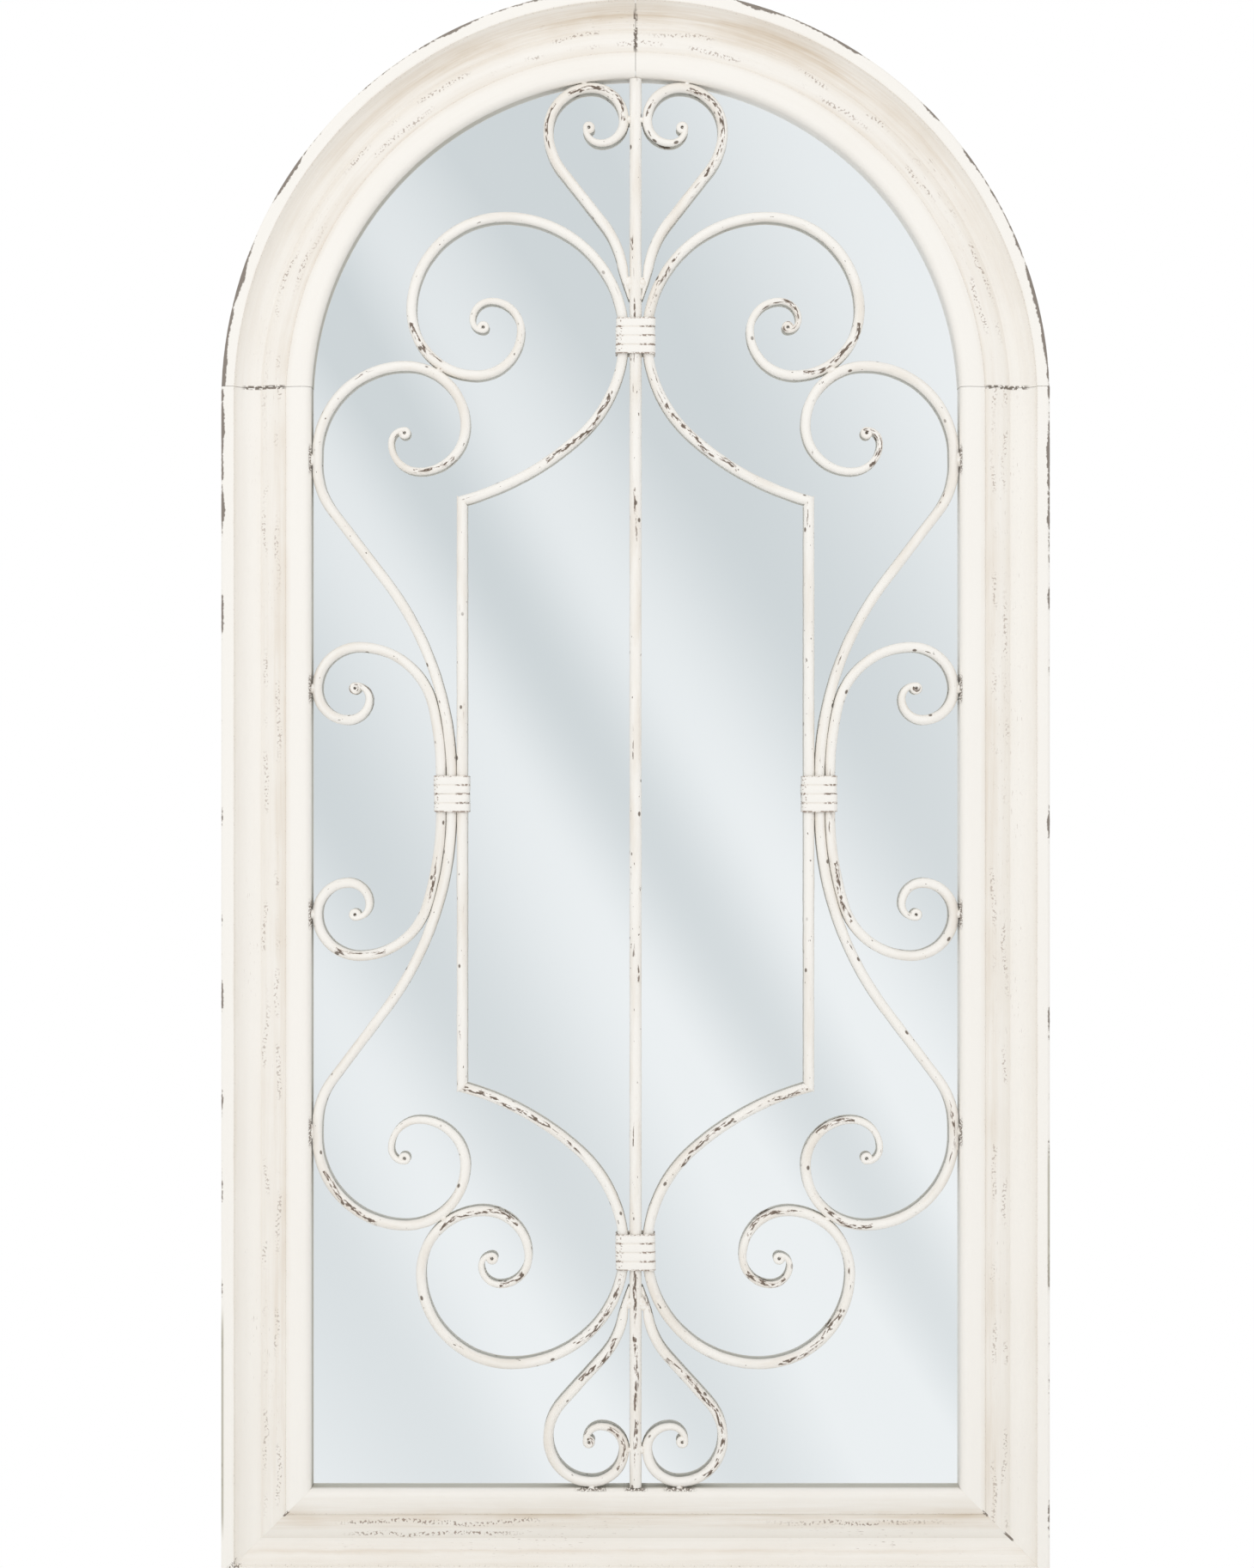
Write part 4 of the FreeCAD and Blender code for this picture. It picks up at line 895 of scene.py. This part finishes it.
# Marks across the moulding: middle, half a width and soft edges
SCRATCHES_AT = (CREASE + 2.0, 9.0, 8.0)
OPEN_SEAM = (CREASE + 3.0, 12.0, 6.0)
MITRE_DOT = (STEPS[1], 1.5, 1.0)
MITRE_DASH = (CREASE + 1.0, 2.5, 1.5)
KNOCKED_CORNER = (7.0, 3.0, 2.0)
# How fast each pattern changes across, along and out from the moulding, per millimetre
BRUSHED = (0.35, 0.012, 0.35)
CLOUDY = (0.03, 0.015, 0.03)
SPECKLED = (1.1, 0.7, 0.0)
WANDERING = (0.0, 0.02, 0.0)
CLUSTERED = (0.0, 0.016, 0.0)
DOTTED = (0.5, 0.5, 0.0)
SCRATCHED = (1.5, 0.16, 0.0)
RUBBED_THIN = (0.02, 0.006, 0.0)
LONG_CHIPS = (0.0, 0.022, 0.0)
RAGGED = (0.4, 0.4, 0.4)
SCUFFED = (0.0, 0.1, 0.9)


def moulding_places(paint, kind):
    """Distance from the outer edge, length along the moulding, height above the wall, and joints.

    The last two are the distances from the seam at an end and from the mitre at a corner.
    """
    x, y, z = paint.add("SeparateXYZ", paint.stretched(paint.here(), [1 / MM] * 3)).outputs
    height = paint.both(y, -1.0)
    from_side = paint.maths("SUBTRACT", HALF_WIDTH, paint.maths("ABSOLUTE", x))
    mitre = paint.maths("ABSOLUTE", paint.maths("SUBTRACT", from_side, z))
    if kind == "rail":
        return z, x, height, mitre, mitre
    if kind == "stile":
        seam = paint.maths("SUBTRACT", SPRING + SEAM_RISE, z)
        right = paint.maths("GREATER_THAN", x, 0.0)
        along = paint.maths("MULTIPLY_ADD", right, RIGHT_SIDE, z)
        return from_side, along, height, seam, mitre
    rise = paint.maths("SUBTRACT", z, SPRING)
    squares = paint.maths("ADD", paint.maths("POWER", x, 2.0), paint.maths("POWER", rise, 2.0))
    across = paint.maths("SUBTRACT", HALF_WIDTH, paint.maths("SQRT", squares))
    along = paint.both(paint.maths("ARCTAN2", rise, x), HALF_WIDTH - CREASE)
    seam = paint.maths("MINIMUM", paint.maths("ABSOLUTE", x), paint.maths("SUBTRACT", rise, SEAM_RISE))
    return across, along, height, seam, mitre


def glazed_and_shaded(paint, kind, across, along, brushed, cloudy, wobble):
    """Cream with the glaze that was left across the moulding, in streaks along it, and painted shade in the
    same amounts, most in the cove at the crown of the arch.
    """
    share = paint.maths("DIVIDE", paint.maths("ADD", across, wobble), float(FACE_WIDTH))
    # Painted shade: the glaze amounts also darken the moulding as shade and the outer band's shadow would,
    # most at the arch's crown
    held_glaze_and_shade = paint.ramp(share, GLAZE_AND_SHADE_ACROSS[kind])
    if kind == "arch":
        crown_shade = paint.near(along, *SHADED_CROWN)
        crown_shade = paint.maths("MULTIPLY_ADD", crown_shade, 1 - AWAY_FROM_CROWN, AWAY_FROM_CROWN)
        below = paint.ramp(share, GLAZE_AND_SHADE_ACROSS["stile"])
        held_glaze_and_shade = paint.maths("MULTIPLY_ADD", crown_shade, paint.maths("SUBTRACT", held_glaze_and_shade, below), below)
    streaks = paint.maths("ADD", paint.fade(brushed, 0.3, 0.72), paint.fade(cloudy, 0.35, 0.75))
    streaks = paint.maths("MULTIPLY_ADD", streaks, 0.75, 0.3)
    return paint.over(CREAM, GLAZE_AND_SHADE, held_glaze_and_shade, streaks)


def rubbed_marks(paint, kind, place, across, along, specks):
    """Rows of dots and scratches where the moulding is rubbed."""
    marks = []
    for number, row in enumerate(DOT_ROWS):
        shifted = paint.add("VectorMath", place, (0, DOT_SHIFT * number, 0), operation="ADD").outputs[0]
        aside = paint.maths("SUBTRACT", across, row + DOT_WANDER / 2)
        wander = paint.maths("MULTIPLY_ADD", paint.pattern(shifted, WANDERING), DOT_WANDER, aside)
        if kind == "rail":
            clusters = paint.either(*[paint.near(along, *stretch) for stretch in RAIL_DOTS[number]])
        else:
            clusters = paint.fade(paint.pattern(shifted, CLUSTERED), 0.49, 0.57)
        dotted = paint.fade(paint.pattern(shifted, DOTTED, 1.0), 0.53, 0.59)
        marks.append(paint.both(paint.near(wander, 0.0, 0.8, 1.4), clusters, dotted))
    scratches = paint.fade(paint.pattern(place, SCRATCHED), 0.66, 0.72)
    worn = paint.fade(paint.pattern(place, RUBBED_THIN), 0.42, 0.62)
    marks.append(paint.both(paint.near(across, *SCRATCHES_AT), scratches, worn))
    quirks = paint.either(*[paint.near(across, step, 0.45, 0.5) for step in STEPS])
    marks.append(paint.both(quirks, paint.fade(specks, 0.60, 0.68), 0.5))
    return paint.either(*marks)


def bare_and_shaded_marks(paint, kind, place, across, along, height, seam, mitre, specks):
    """Chips along the outer edge, marks at the joints and painted shade on the sight edge beside the welds.
    """
    lost = paint.maths("ADD", paint.pattern(place, LONG_CHIPS), CHIP_SHARE[kind])
    lost = paint.maths("MULTIPLY_ADD", paint.fade(seam, 240.0, 30.0), 0.15, lost)
    from_edge = paint.maths("MAXIMUM", across, paint.maths("SUBTRACT", FRONT_EDGE, height))
    from_edge = paint.maths("MULTIPLY_ADD", paint.pattern(place, RAGGED), 3.0, from_edge)
    chips = paint.fade(paint.maths("MULTIPLY_ADD", lost, -CHIPPED, from_edge), -3.3, -4.2)
    dot = paint.both(paint.near(across, *MITRE_DOT), paint.fade(paint.noise(place, 0.3), 0.44, 0.50))
    dash = paint.both(paint.near(across, *MITRE_DASH), paint.fade(along, 150.0, 200.0))
    joint = paint.both(paint.either(dot, dash), paint.fade(mitre, 1.6, 0.9))
    knocked = paint.both(paint.near(across, *KNOCKED_CORNER), paint.fade(mitre, 6.0, 3.0),
                         paint.fade(along, 100.0, 50.0), paint.fade(specks, 0.50, 0.58))
    marks = [chips, joint, knocked]
    if kind != "rail":
        gaps = paint.fade(paint.noise(place, 0.35), 0.42, 0.48)
        marks.append(paint.both(paint.fade(seam, 1.8, 1.1), paint.near(across, *OPEN_SEAM), gaps))
    # Painted shade: dark marks on the sight edge beside the welds, where the bars meet the moulding
    weld_shade = []
    if kind == "stile":
        weld_shade = [paint.near(seam, SPRING + SEAM_RISE - z, 6.0, 7.0) for z in STILE_WELDS]
    if kind == "rail":
        aside = paint.maths("ABSOLUTE", along)
        weld_shade = [paint.near(aside, 0.0, 5.0, 5.0), paint.near(aside, belly_x, 7.0, 7.0)]
    edge = paint.both(paint.fade(across, FACE_WIDTH - 2.4, FACE_WIDTH - 1.0), paint.fade(specks, 0.42, 0.50))
    marks += [paint.both(spot, edge) for spot in weld_shade]
    return paint.either(*marks)


def moulding_paint(kind):
    """Cream paint, glaze and wear on one kind of moulding length."""
    paint = Finish("moulding_paint_" + kind)
    across, along, height, seam, mitre = moulding_places(paint, kind)
    place = paint.add("CombineXYZ", across, along, height).outputs[0]
    brushed = paint.pattern(place, BRUSHED, 4.0, 0.65)
    cloudy = paint.pattern(place, CLOUDY, 3.0)
    wobble = paint.both(paint.maths("SUBTRACT", paint.noise(place, 0.06), 0.5), 2.2)
    specks = paint.pattern(place, SPECKLED, 2.0, 0.6)
    colour = glazed_and_shaded(paint, kind, across, along, brushed, cloudy, wobble)
    flank = paint.both(paint.fade(across, 1.0, 0.3), paint.fade(height, FRONT_EDGE - 2.0, FRONT_EDGE - 5.0))
    colour = paint.over(colour, GLAZE_AND_SHADE, flank, paint.fade(brushed, 0.35, 0.75), 0.35)
    scuffs = paint.fade(paint.pattern(place, SCUFFED, 3.0), 0.68, 0.72)
    colour = paint.over(colour, RUST, flank, scuffs, 0.6)
    rubbed = rubbed_marks(paint, kind, place, across, along, specks)
    colour = paint.over(colour, RUST, rubbed, RUBBED[kind])
    # Bare metal at chips and joints, and the painted shade beside the welds, in dark brown
    bare = bare_and_shaded_marks(paint, kind, place, across, along, height, seam, mitre, specks)
    colour = paint.over(colour, BARE_METAL_AND_SHADE, bare, 0.85)
    # Painted shade: the return of the sight edge is darkened with olive on the left side and along the whole
    # rail
    shaded_return = paint.both(paint.fade(across, FACE_WIDTH - 0.9, FACE_WIDTH - 0.3),
                        paint.fade(height, SIGHT_RETURN + 1.5, SIGHT_RETURN - 2.0))
    colour = paint.over(colour, SHADE_OLIVE, shaded_return, paint.fade(along, *RETURN_SHADE[kind]), 0.7)
    # Painted shade: stretches of the uprights' rounded outer edge are darkened with olive
    if kind == "stile":
        edge = paint.both(paint.fade(across, 2.6, 1.3),
                          paint.fade(height, FRONT_EDGE - 8.0, FRONT_EDGE - 4.0))
        shaded_stretches = paint.either(*[paint.near(along, *stretch) for stretch in EDGE_SHADE])
        colour = paint.over(colour, SHADE_OLIVE, edge, shaded_stretches, 0.8)
    grain = paint.maths("MULTIPLY_ADD", paint.noise(place, 0.5, 3.0), 0.8, brushed)
    return paint.finish(colour, 0.55, bump=grain, lift=0.12, sheen=0.3)


MOULDINGS = {
    "arch": (nodes["arch_right"], nodes["arch_left"]),
    "stile": (nodes["stile_right"], nodes["stile_left"]),
    "rail": (nodes["bottom_rail"], filled),
}


def coat(piece, material):
    """Gives a piece its only material."""
    piece.data.materials.clear()
    piece.data.materials.append(material)


for kind, pieces in MOULDINGS.items():
    material = moulding_paint(kind)
    for piece in pieces:
        coat(piece, material)
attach(filled, "mirror")
print("painted pieces:", sum(len(pieces) for pieces in MOULDINGS.values()))

# %% [markdown]
# ## Paint of the grille
# The bars carry the same cream. Rubbing has broken it to reddish brown in dashes along the crests and
# the outsides of the bends, and painted shade darkens the sides that turn towards the glass and the
# hole in the middle of each rolled eye. Collars hold glaze between their turns.

# %% Paint of the grille
# How fast each pattern changes along, across and out from a bar, per millimetre
BAR_CLOUDS = (0.02, 0.12, 0.12)
BAR_RUBBED = (0.014, 0.18, 0.18)
BAR_CREST = (0.03, 0.0, 0.0)
BAR_BROKEN = (0.2, 0.6, 0.6)
BAR_CELLS = (0.7, 1.0, 1.0)
BAR_CLUSTERS = (0.008, 0.0, 0.0)
BAR_CHIPS = (0.16, 0.42, 0.42)
BAR_GRAIN = (0.25, 0.6, 0.6)
COLLAR_GRAIN = (0.5, 0.7, 0.5)
CREST_WANDER = 12.0
WORN_MORE = 0.32


def bar_paint():
    """Cream paint with dashes worn along the bar."""
    paint = Finish("grille_paint_bars")
    place = paint.marked("straightened")["Vector"]
    _, across, out = paint.add("SeparateXYZ", place).outputs
    cloudy = paint.pattern(place, BAR_CLOUDS, 3.0)
    colour = paint.over(CREAM, GLAZE_AND_SHADE, paint.fade(cloudy, 0.4, 0.75), 0.3)
    # Painted shade: the side of each bar that turns towards the glass is darkened with olive
    wander = paint.both(paint.maths("SUBTRACT", cloudy, 0.5), 5.0)
    shaded_rear = paint.fade(paint.maths("ADD", out, wander), 1.4, -1.0)
    colour = paint.over(colour, SHADE_OLIVE, shaded_rear, 0.4)
    rubbed = paint.pattern(place, BAR_RUBBED)
    rubbed = paint.maths("MULTIPLY_ADD", paint.marked("wear")["Fac"], WORN_MORE, rubbed)
    rubbed = paint.fade(rubbed, 0.61, 0.68)
    crest = paint.both(paint.maths("SUBTRACT", paint.pattern(place, BAR_CREST, 1.0), 0.5), CREST_WANDER)
    line = paint.fade(paint.maths("ABSOLUTE", paint.maths("SUBTRACT", across, crest)), 1.9, 0.9)
    broken = paint.pattern(place, BAR_BROKEN, 3.0, 0.6)
    colour = paint.over(colour, RUST, rubbed, line, paint.fade(broken, 0.46, 0.52), 0.8)
    colour = paint.over(colour, BARE_METAL_AND_SHADE, rubbed, line, paint.fade(broken, 0.51, 0.56), 0.9)
    cells = paint.add("TexVoronoi", paint.stretched(place, BAR_CELLS), None, 0.11, feature="F1")
    chosen, _, _ = paint.add("SeparateColor", cells.outputs["Color"]).outputs
    clustered = paint.fade(paint.pattern(place, BAR_CLUSTERS, 1.0), 0.42, 0.5)
    spots = paint.fade(cells.outputs["Distance"], 0.17, 0.10)
    dots = paint.both(spots, paint.fade(chosen, 0.45, 0.5), clustered)
    chipped = paint.pattern(place, BAR_CHIPS, 2.0, 0.6)
    bare = paint.either(dots, paint.fade(chipped, 0.70, 0.73))
    colour = paint.over(colour, BARE_METAL_AND_SHADE, bare, 0.9)
    # Painted shade: the hole in the middle of each rolled eye is darkened with the dark brown
    colour = paint.over(colour, BARE_METAL_AND_SHADE, paint.fade(paint.marked("eye_rim")["Fac"], 1.5, 0.8))
    return paint.finish(colour, 0.5, bump=paint.pattern(place, BAR_GRAIN, 3.0), lift=0.25, sheen=0.35)


def collar_paint():
    """Cream paint on wrapped strips, dark between the turns."""
    paint = Finish("grille_paint_collars")
    place = paint.marked("straightened")["Vector"]
    along, height, _ = paint.add("SeparateXYZ", place).outputs
    ends_at = 2 * COLLAR_HALF
    pitch = ends_at / COLLAR_TURNS
    turned = paint.maths("WRAP", height, pitch / 2, -pitch / 2)
    groove = paint.near(turned, 0.0, 0.35, 0.8)
    uneven = paint.pattern(place, COLLAR_GRAIN, 3.0)
    colour = paint.over(CREAM, GLAZE_AND_SHADE, groove, 0.15)
    sides = paint.either(paint.fade(along, -8.0, -10.5), paint.both(paint.fade(along, 2.0, 5.0), 0.9))
    marks = paint.both(groove, sides, paint.fade(uneven, 0.46, 0.54))
    spots = paint.both(paint.fade(along, -8.5, -10.5), paint.fade(uneven, 0.60, 0.65))
    ends = paint.either(paint.fade(height, 1.2, 0.5), paint.fade(height, ends_at - 1.2, ends_at - 0.5))
    ends = paint.both(ends, paint.fade(uneven, 0.44, 0.52), 0.8)
    colour = paint.over(colour, RUST, paint.either(marks, spots, ends), 0.9)
    return paint.finish(colour, 0.5, bump=uneven, lift=0.3, sheen=0.35)


def weld_paint():
    """Thick paint over a bead, broken to the metal in spots."""
    paint = Finish("grille_paint_welds")
    uneven = paint.noise(paint.here(), 400.0, 3.0)
    colour = paint.over(CREAM, GLAZE_AND_SHADE, paint.fade(uneven, 0.35, 0.7), 0.35)
    colour = paint.over(colour, RUST, paint.fade(uneven, 0.66, 0.72), 0.7)
    return paint.finish(colour, 0.55, bump=uneven, lift=0.2, sheen=0.3)


bars_material = bar_paint()
collars_material = collar_paint()
for piece in grille.values():
    coat(piece, bars_material)
for piece in collars.values():
    coat(piece, collars_material)
coat(welded, weld_paint())
for piece in list(grille.values()) + list(collars.values()) + [welded]:
    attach(piece, "mirror")
print("grille pieces:", len(grille) + len(collars) + 1)


# %% [markdown]
# ## Glass and back
# The glass is silvered, so it is a smooth metal with a faint blue-green tint and hardly visible
# waves. Behind it lie packing foam and a hardboard panel with pressed fibres, and the lugs, screws
# and hangers are bright zinc plate.

# %% Glass and back
FIBRES = (320, 320, 90)


def silvered_glass():
    """Mirror with a faint tint that deepens a little in soft clouds."""
    glass = Finish("silvered_glass")
    clouds = glass.noise(glass.here(), 2.2, 1.0)
    colour = glass.over((0.925, 0.945, 0.950, 1), (0.945, 0.958, 0.962, 1), clouds)
    return glass.finish(colour, 0.02, metallic=1.0)


def packing_foam():
    """White closed-cell foam."""
    foam = Finish("packing_foam")
    cells = foam.noise(foam.here(), 900.0)
    colour = foam.over((0.80, 0.80, 0.79, 1), (0.87, 0.87, 0.86, 1), cells)
    return foam.finish(colour, 0.8, bump=cells, lift=0.3)


def hardboard():
    """Pressed brown fibres with darker patches."""
    board = Finish("hardboard")
    place = board.here()
    fibres = board.pattern(place, FIBRES, 4.0, 0.7)
    colour = board.over((0.30, 0.185, 0.105, 1), (0.42, 0.28, 0.17, 1), board.fade(fibres, 0.3, 0.7))
    patches = board.fade(board.noise(place, 9.0, 3.0), 0.45, 0.7)
    colour = board.over(colour, (0.24, 0.15, 0.09, 1), patches, 0.3)
    return board.finish(colour, 0.7, bump=fibres, lift=0.15, sheen=0.25)


def zinc_plate():
    """Bright zinc with cloudy crystals."""
    zinc = Finish("zinc_plate")
    place = zinc.here()
    crystals = zinc.add("TexVoronoi", place, None, 420.0).outputs["Color"]
    clouds = zinc.noise(place, 150.0, 3.0)
    colour = zinc.over((0.60, 0.61, 0.62, 1), (0.76, 0.77, 0.78, 1), clouds, 0.7)
    colour = zinc.over(colour, crystals, 0.06)
    return zinc.finish(colour, 0.34, metallic=1.0, bump=clouds, lift=0.03)


coat(nodes["mirror_glass"], silvered_glass())
coat(nodes["foam_sheet"], packing_foam())
coat(nodes["back_panel"], hardboard())
zinc_material = zinc_plate()
for name, piece in nodes.items():
    if name.startswith(("panel_lugs", "panel_screws", "hanger_")):
        coat(piece, zinc_material)
print("back and glass coated")

# %% [markdown]
# ## Camera
# The camera stands level and straight in front of the mirror, and sees as much of it as the picture does.

# %% Camera
VIEW_X = -6.3
VIEW_Z = 585.3
VIEW_HEIGHT = 1154.2
DISTANCE = 2600
FRONT = -cad_low[1] / MM - 2
bpy.ops.object.select_all(action="DESELECT")
bpy.ops.object.camera_add(location=(VIEW_X * MM, -(FRONT + DISTANCE) * MM, VIEW_Z * MM),
                          rotation=(math.radians(90), 0, 0))
camera = bpy.context.object
camera.data.lens = camera.data.sensor_width * DISTANCE / VIEW_HEIGHT
bpy.context.scene.camera = camera

# %% [markdown]
# ## Reflected card
# Behind the camera hangs a large pale card with soft slanting bands, which is what the glass reflects.
# The camera doesn't see it, and it neither lights nor shades the mirror.

# %% Reflected card
CARD_Y = -4.0
CARD_SIZE = (12.0, 9.0)
CARD_SPREAD = 2.52
# Brightness of the card's bands, at places square to them, and the lean of that direction
SOFT_BANDS = ((0.0, 0.8), (0.13, 0.38), (0.222, 0.92), (0.304, 0.18), (0.428, 0.93), (0.494, 0.12),
              (0.5625, 0.88), (0.672, 0.02), (0.88, 0.93), (1.0, 0.6))
BAND_LEAN = 0.55
CARD_DARK = (0.66, 0.70, 0.718, 1)
CARD_PALE = (0.895, 0.915, 0.926, 1)
PALER_BELOW = 0.4
PALER_RIGHT = 0.6
bpy.ops.mesh.primitive_plane_add(size=1, location=(VIEW_X * MM, CARD_Y, VIEW_Z * MM),
                                 rotation=(math.radians(90), 0, 0))
card = named("reflected_card")
card.scale = (*CARD_SIZE, 1)
card.visible_camera = False
card.visible_diffuse = False
card.visible_shadow = False
bands = Finish("card_bands")
card_x, card_z, _ = bands.add("SeparateXYZ", bands.here()).outputs
right = bands.both(card_x, CARD_SIZE[0] / CARD_SPREAD)
rise = bands.both(card_z, CARD_SIZE[1] / CARD_SPREAD)
slant = bands.maths("ADD", bands.both(right, math.cos(BAND_LEAN)), bands.both(rise, math.sin(BAND_LEAN)))
level = bands.ramp(bands.maths("ADD", slant, 0.5), SOFT_BANDS, "EASE")
level = bands.maths("MULTIPLY_ADD", rise, -PALER_BELOW, level)
level = bands.maths("MULTIPLY_ADD", right, PALER_RIGHT, level)
glow = bands.add("Emission", bands.over(CARD_DARK, CARD_PALE, level), 1.0)
bands.add("OutputMaterial", glow.outputs[0])
coat(card, bands.owner)

# %% [markdown]
# ## Floor
# The floor is pale and small, and only takes the shadow at the mirror's foot.

# %% Floor
FLOOR_SIZE = (1.5, 0.44)
FLOOR_DROP = 0.001
bpy.ops.mesh.primitive_plane_add(size=1, location=(0, -FLOOR_SIZE[1] / 2, -FLOOR_DROP))
floor = named("floor")
floor.scale = (*FLOOR_SIZE, 1)
floor.visible_glossy = False
ground = Finish("pale_floor")
dust = ground.noise(ground.here(), 60.0)
coat(floor, ground.finish(ground.over((0.90, 0.90, 0.89, 1), (0.93, 0.93, 0.92, 1), dust), 0.8))
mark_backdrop(card, floor)

# %% [markdown]
# ## Lamps and surroundings
# A broad key lamp hangs above and a weaker fill lamp stands on the left. The surroundings give soft
# light from all sides, and they are plain white to the camera and in reflections.

# %% Lamps and surroundings
AMBIENT = 0.885
WHITE = (1, 1, 1, 1)
AIM = (0, 0, 0.6)
# Place, power and width of each lamp
LAMPS = {
    "key_lamp": ((-0.4, -2.8, 2.8), 15, 1.5),
    "fill_lamp": ((-1.8, -3.0, 0.9), 5, 1.6),
}
for name, (spot, power, width) in LAMPS.items():
    bpy.ops.object.light_add(type="AREA", location=spot)
    lamp = named(name)
    lamp.data.energy = power
    lamp.data.size = width
    away = [place - goal for place, goal in zip(spot, AIM)]
    level_away = math.hypot(away[0], away[1])
    lamp.rotation_euler = (math.atan2(level_away, away[2]), 0, math.atan2(away[0], -away[1]))
    lamp.visible_glossy = False
studio = Finish(bpy.data.worlds.new("studio"))
bpy.context.scene.world = studio.owner
rays = studio.add("LightPath").outputs
seen = studio.either(rays["Is Camera Ray"], rays["Is Glossy Ray"])
soft = studio.add("Background", WHITE, AMBIENT)
white = studio.add("Background", WHITE, 1.0)
shown = studio.add("MixShader", seen, soft.outputs[0], white.outputs[0])
studio.add("OutputWorld", shown.outputs[0])
bpy.context.scene.view_settings.view_transform = "Standard"
print("stage ready")

# %% Close
low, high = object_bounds()
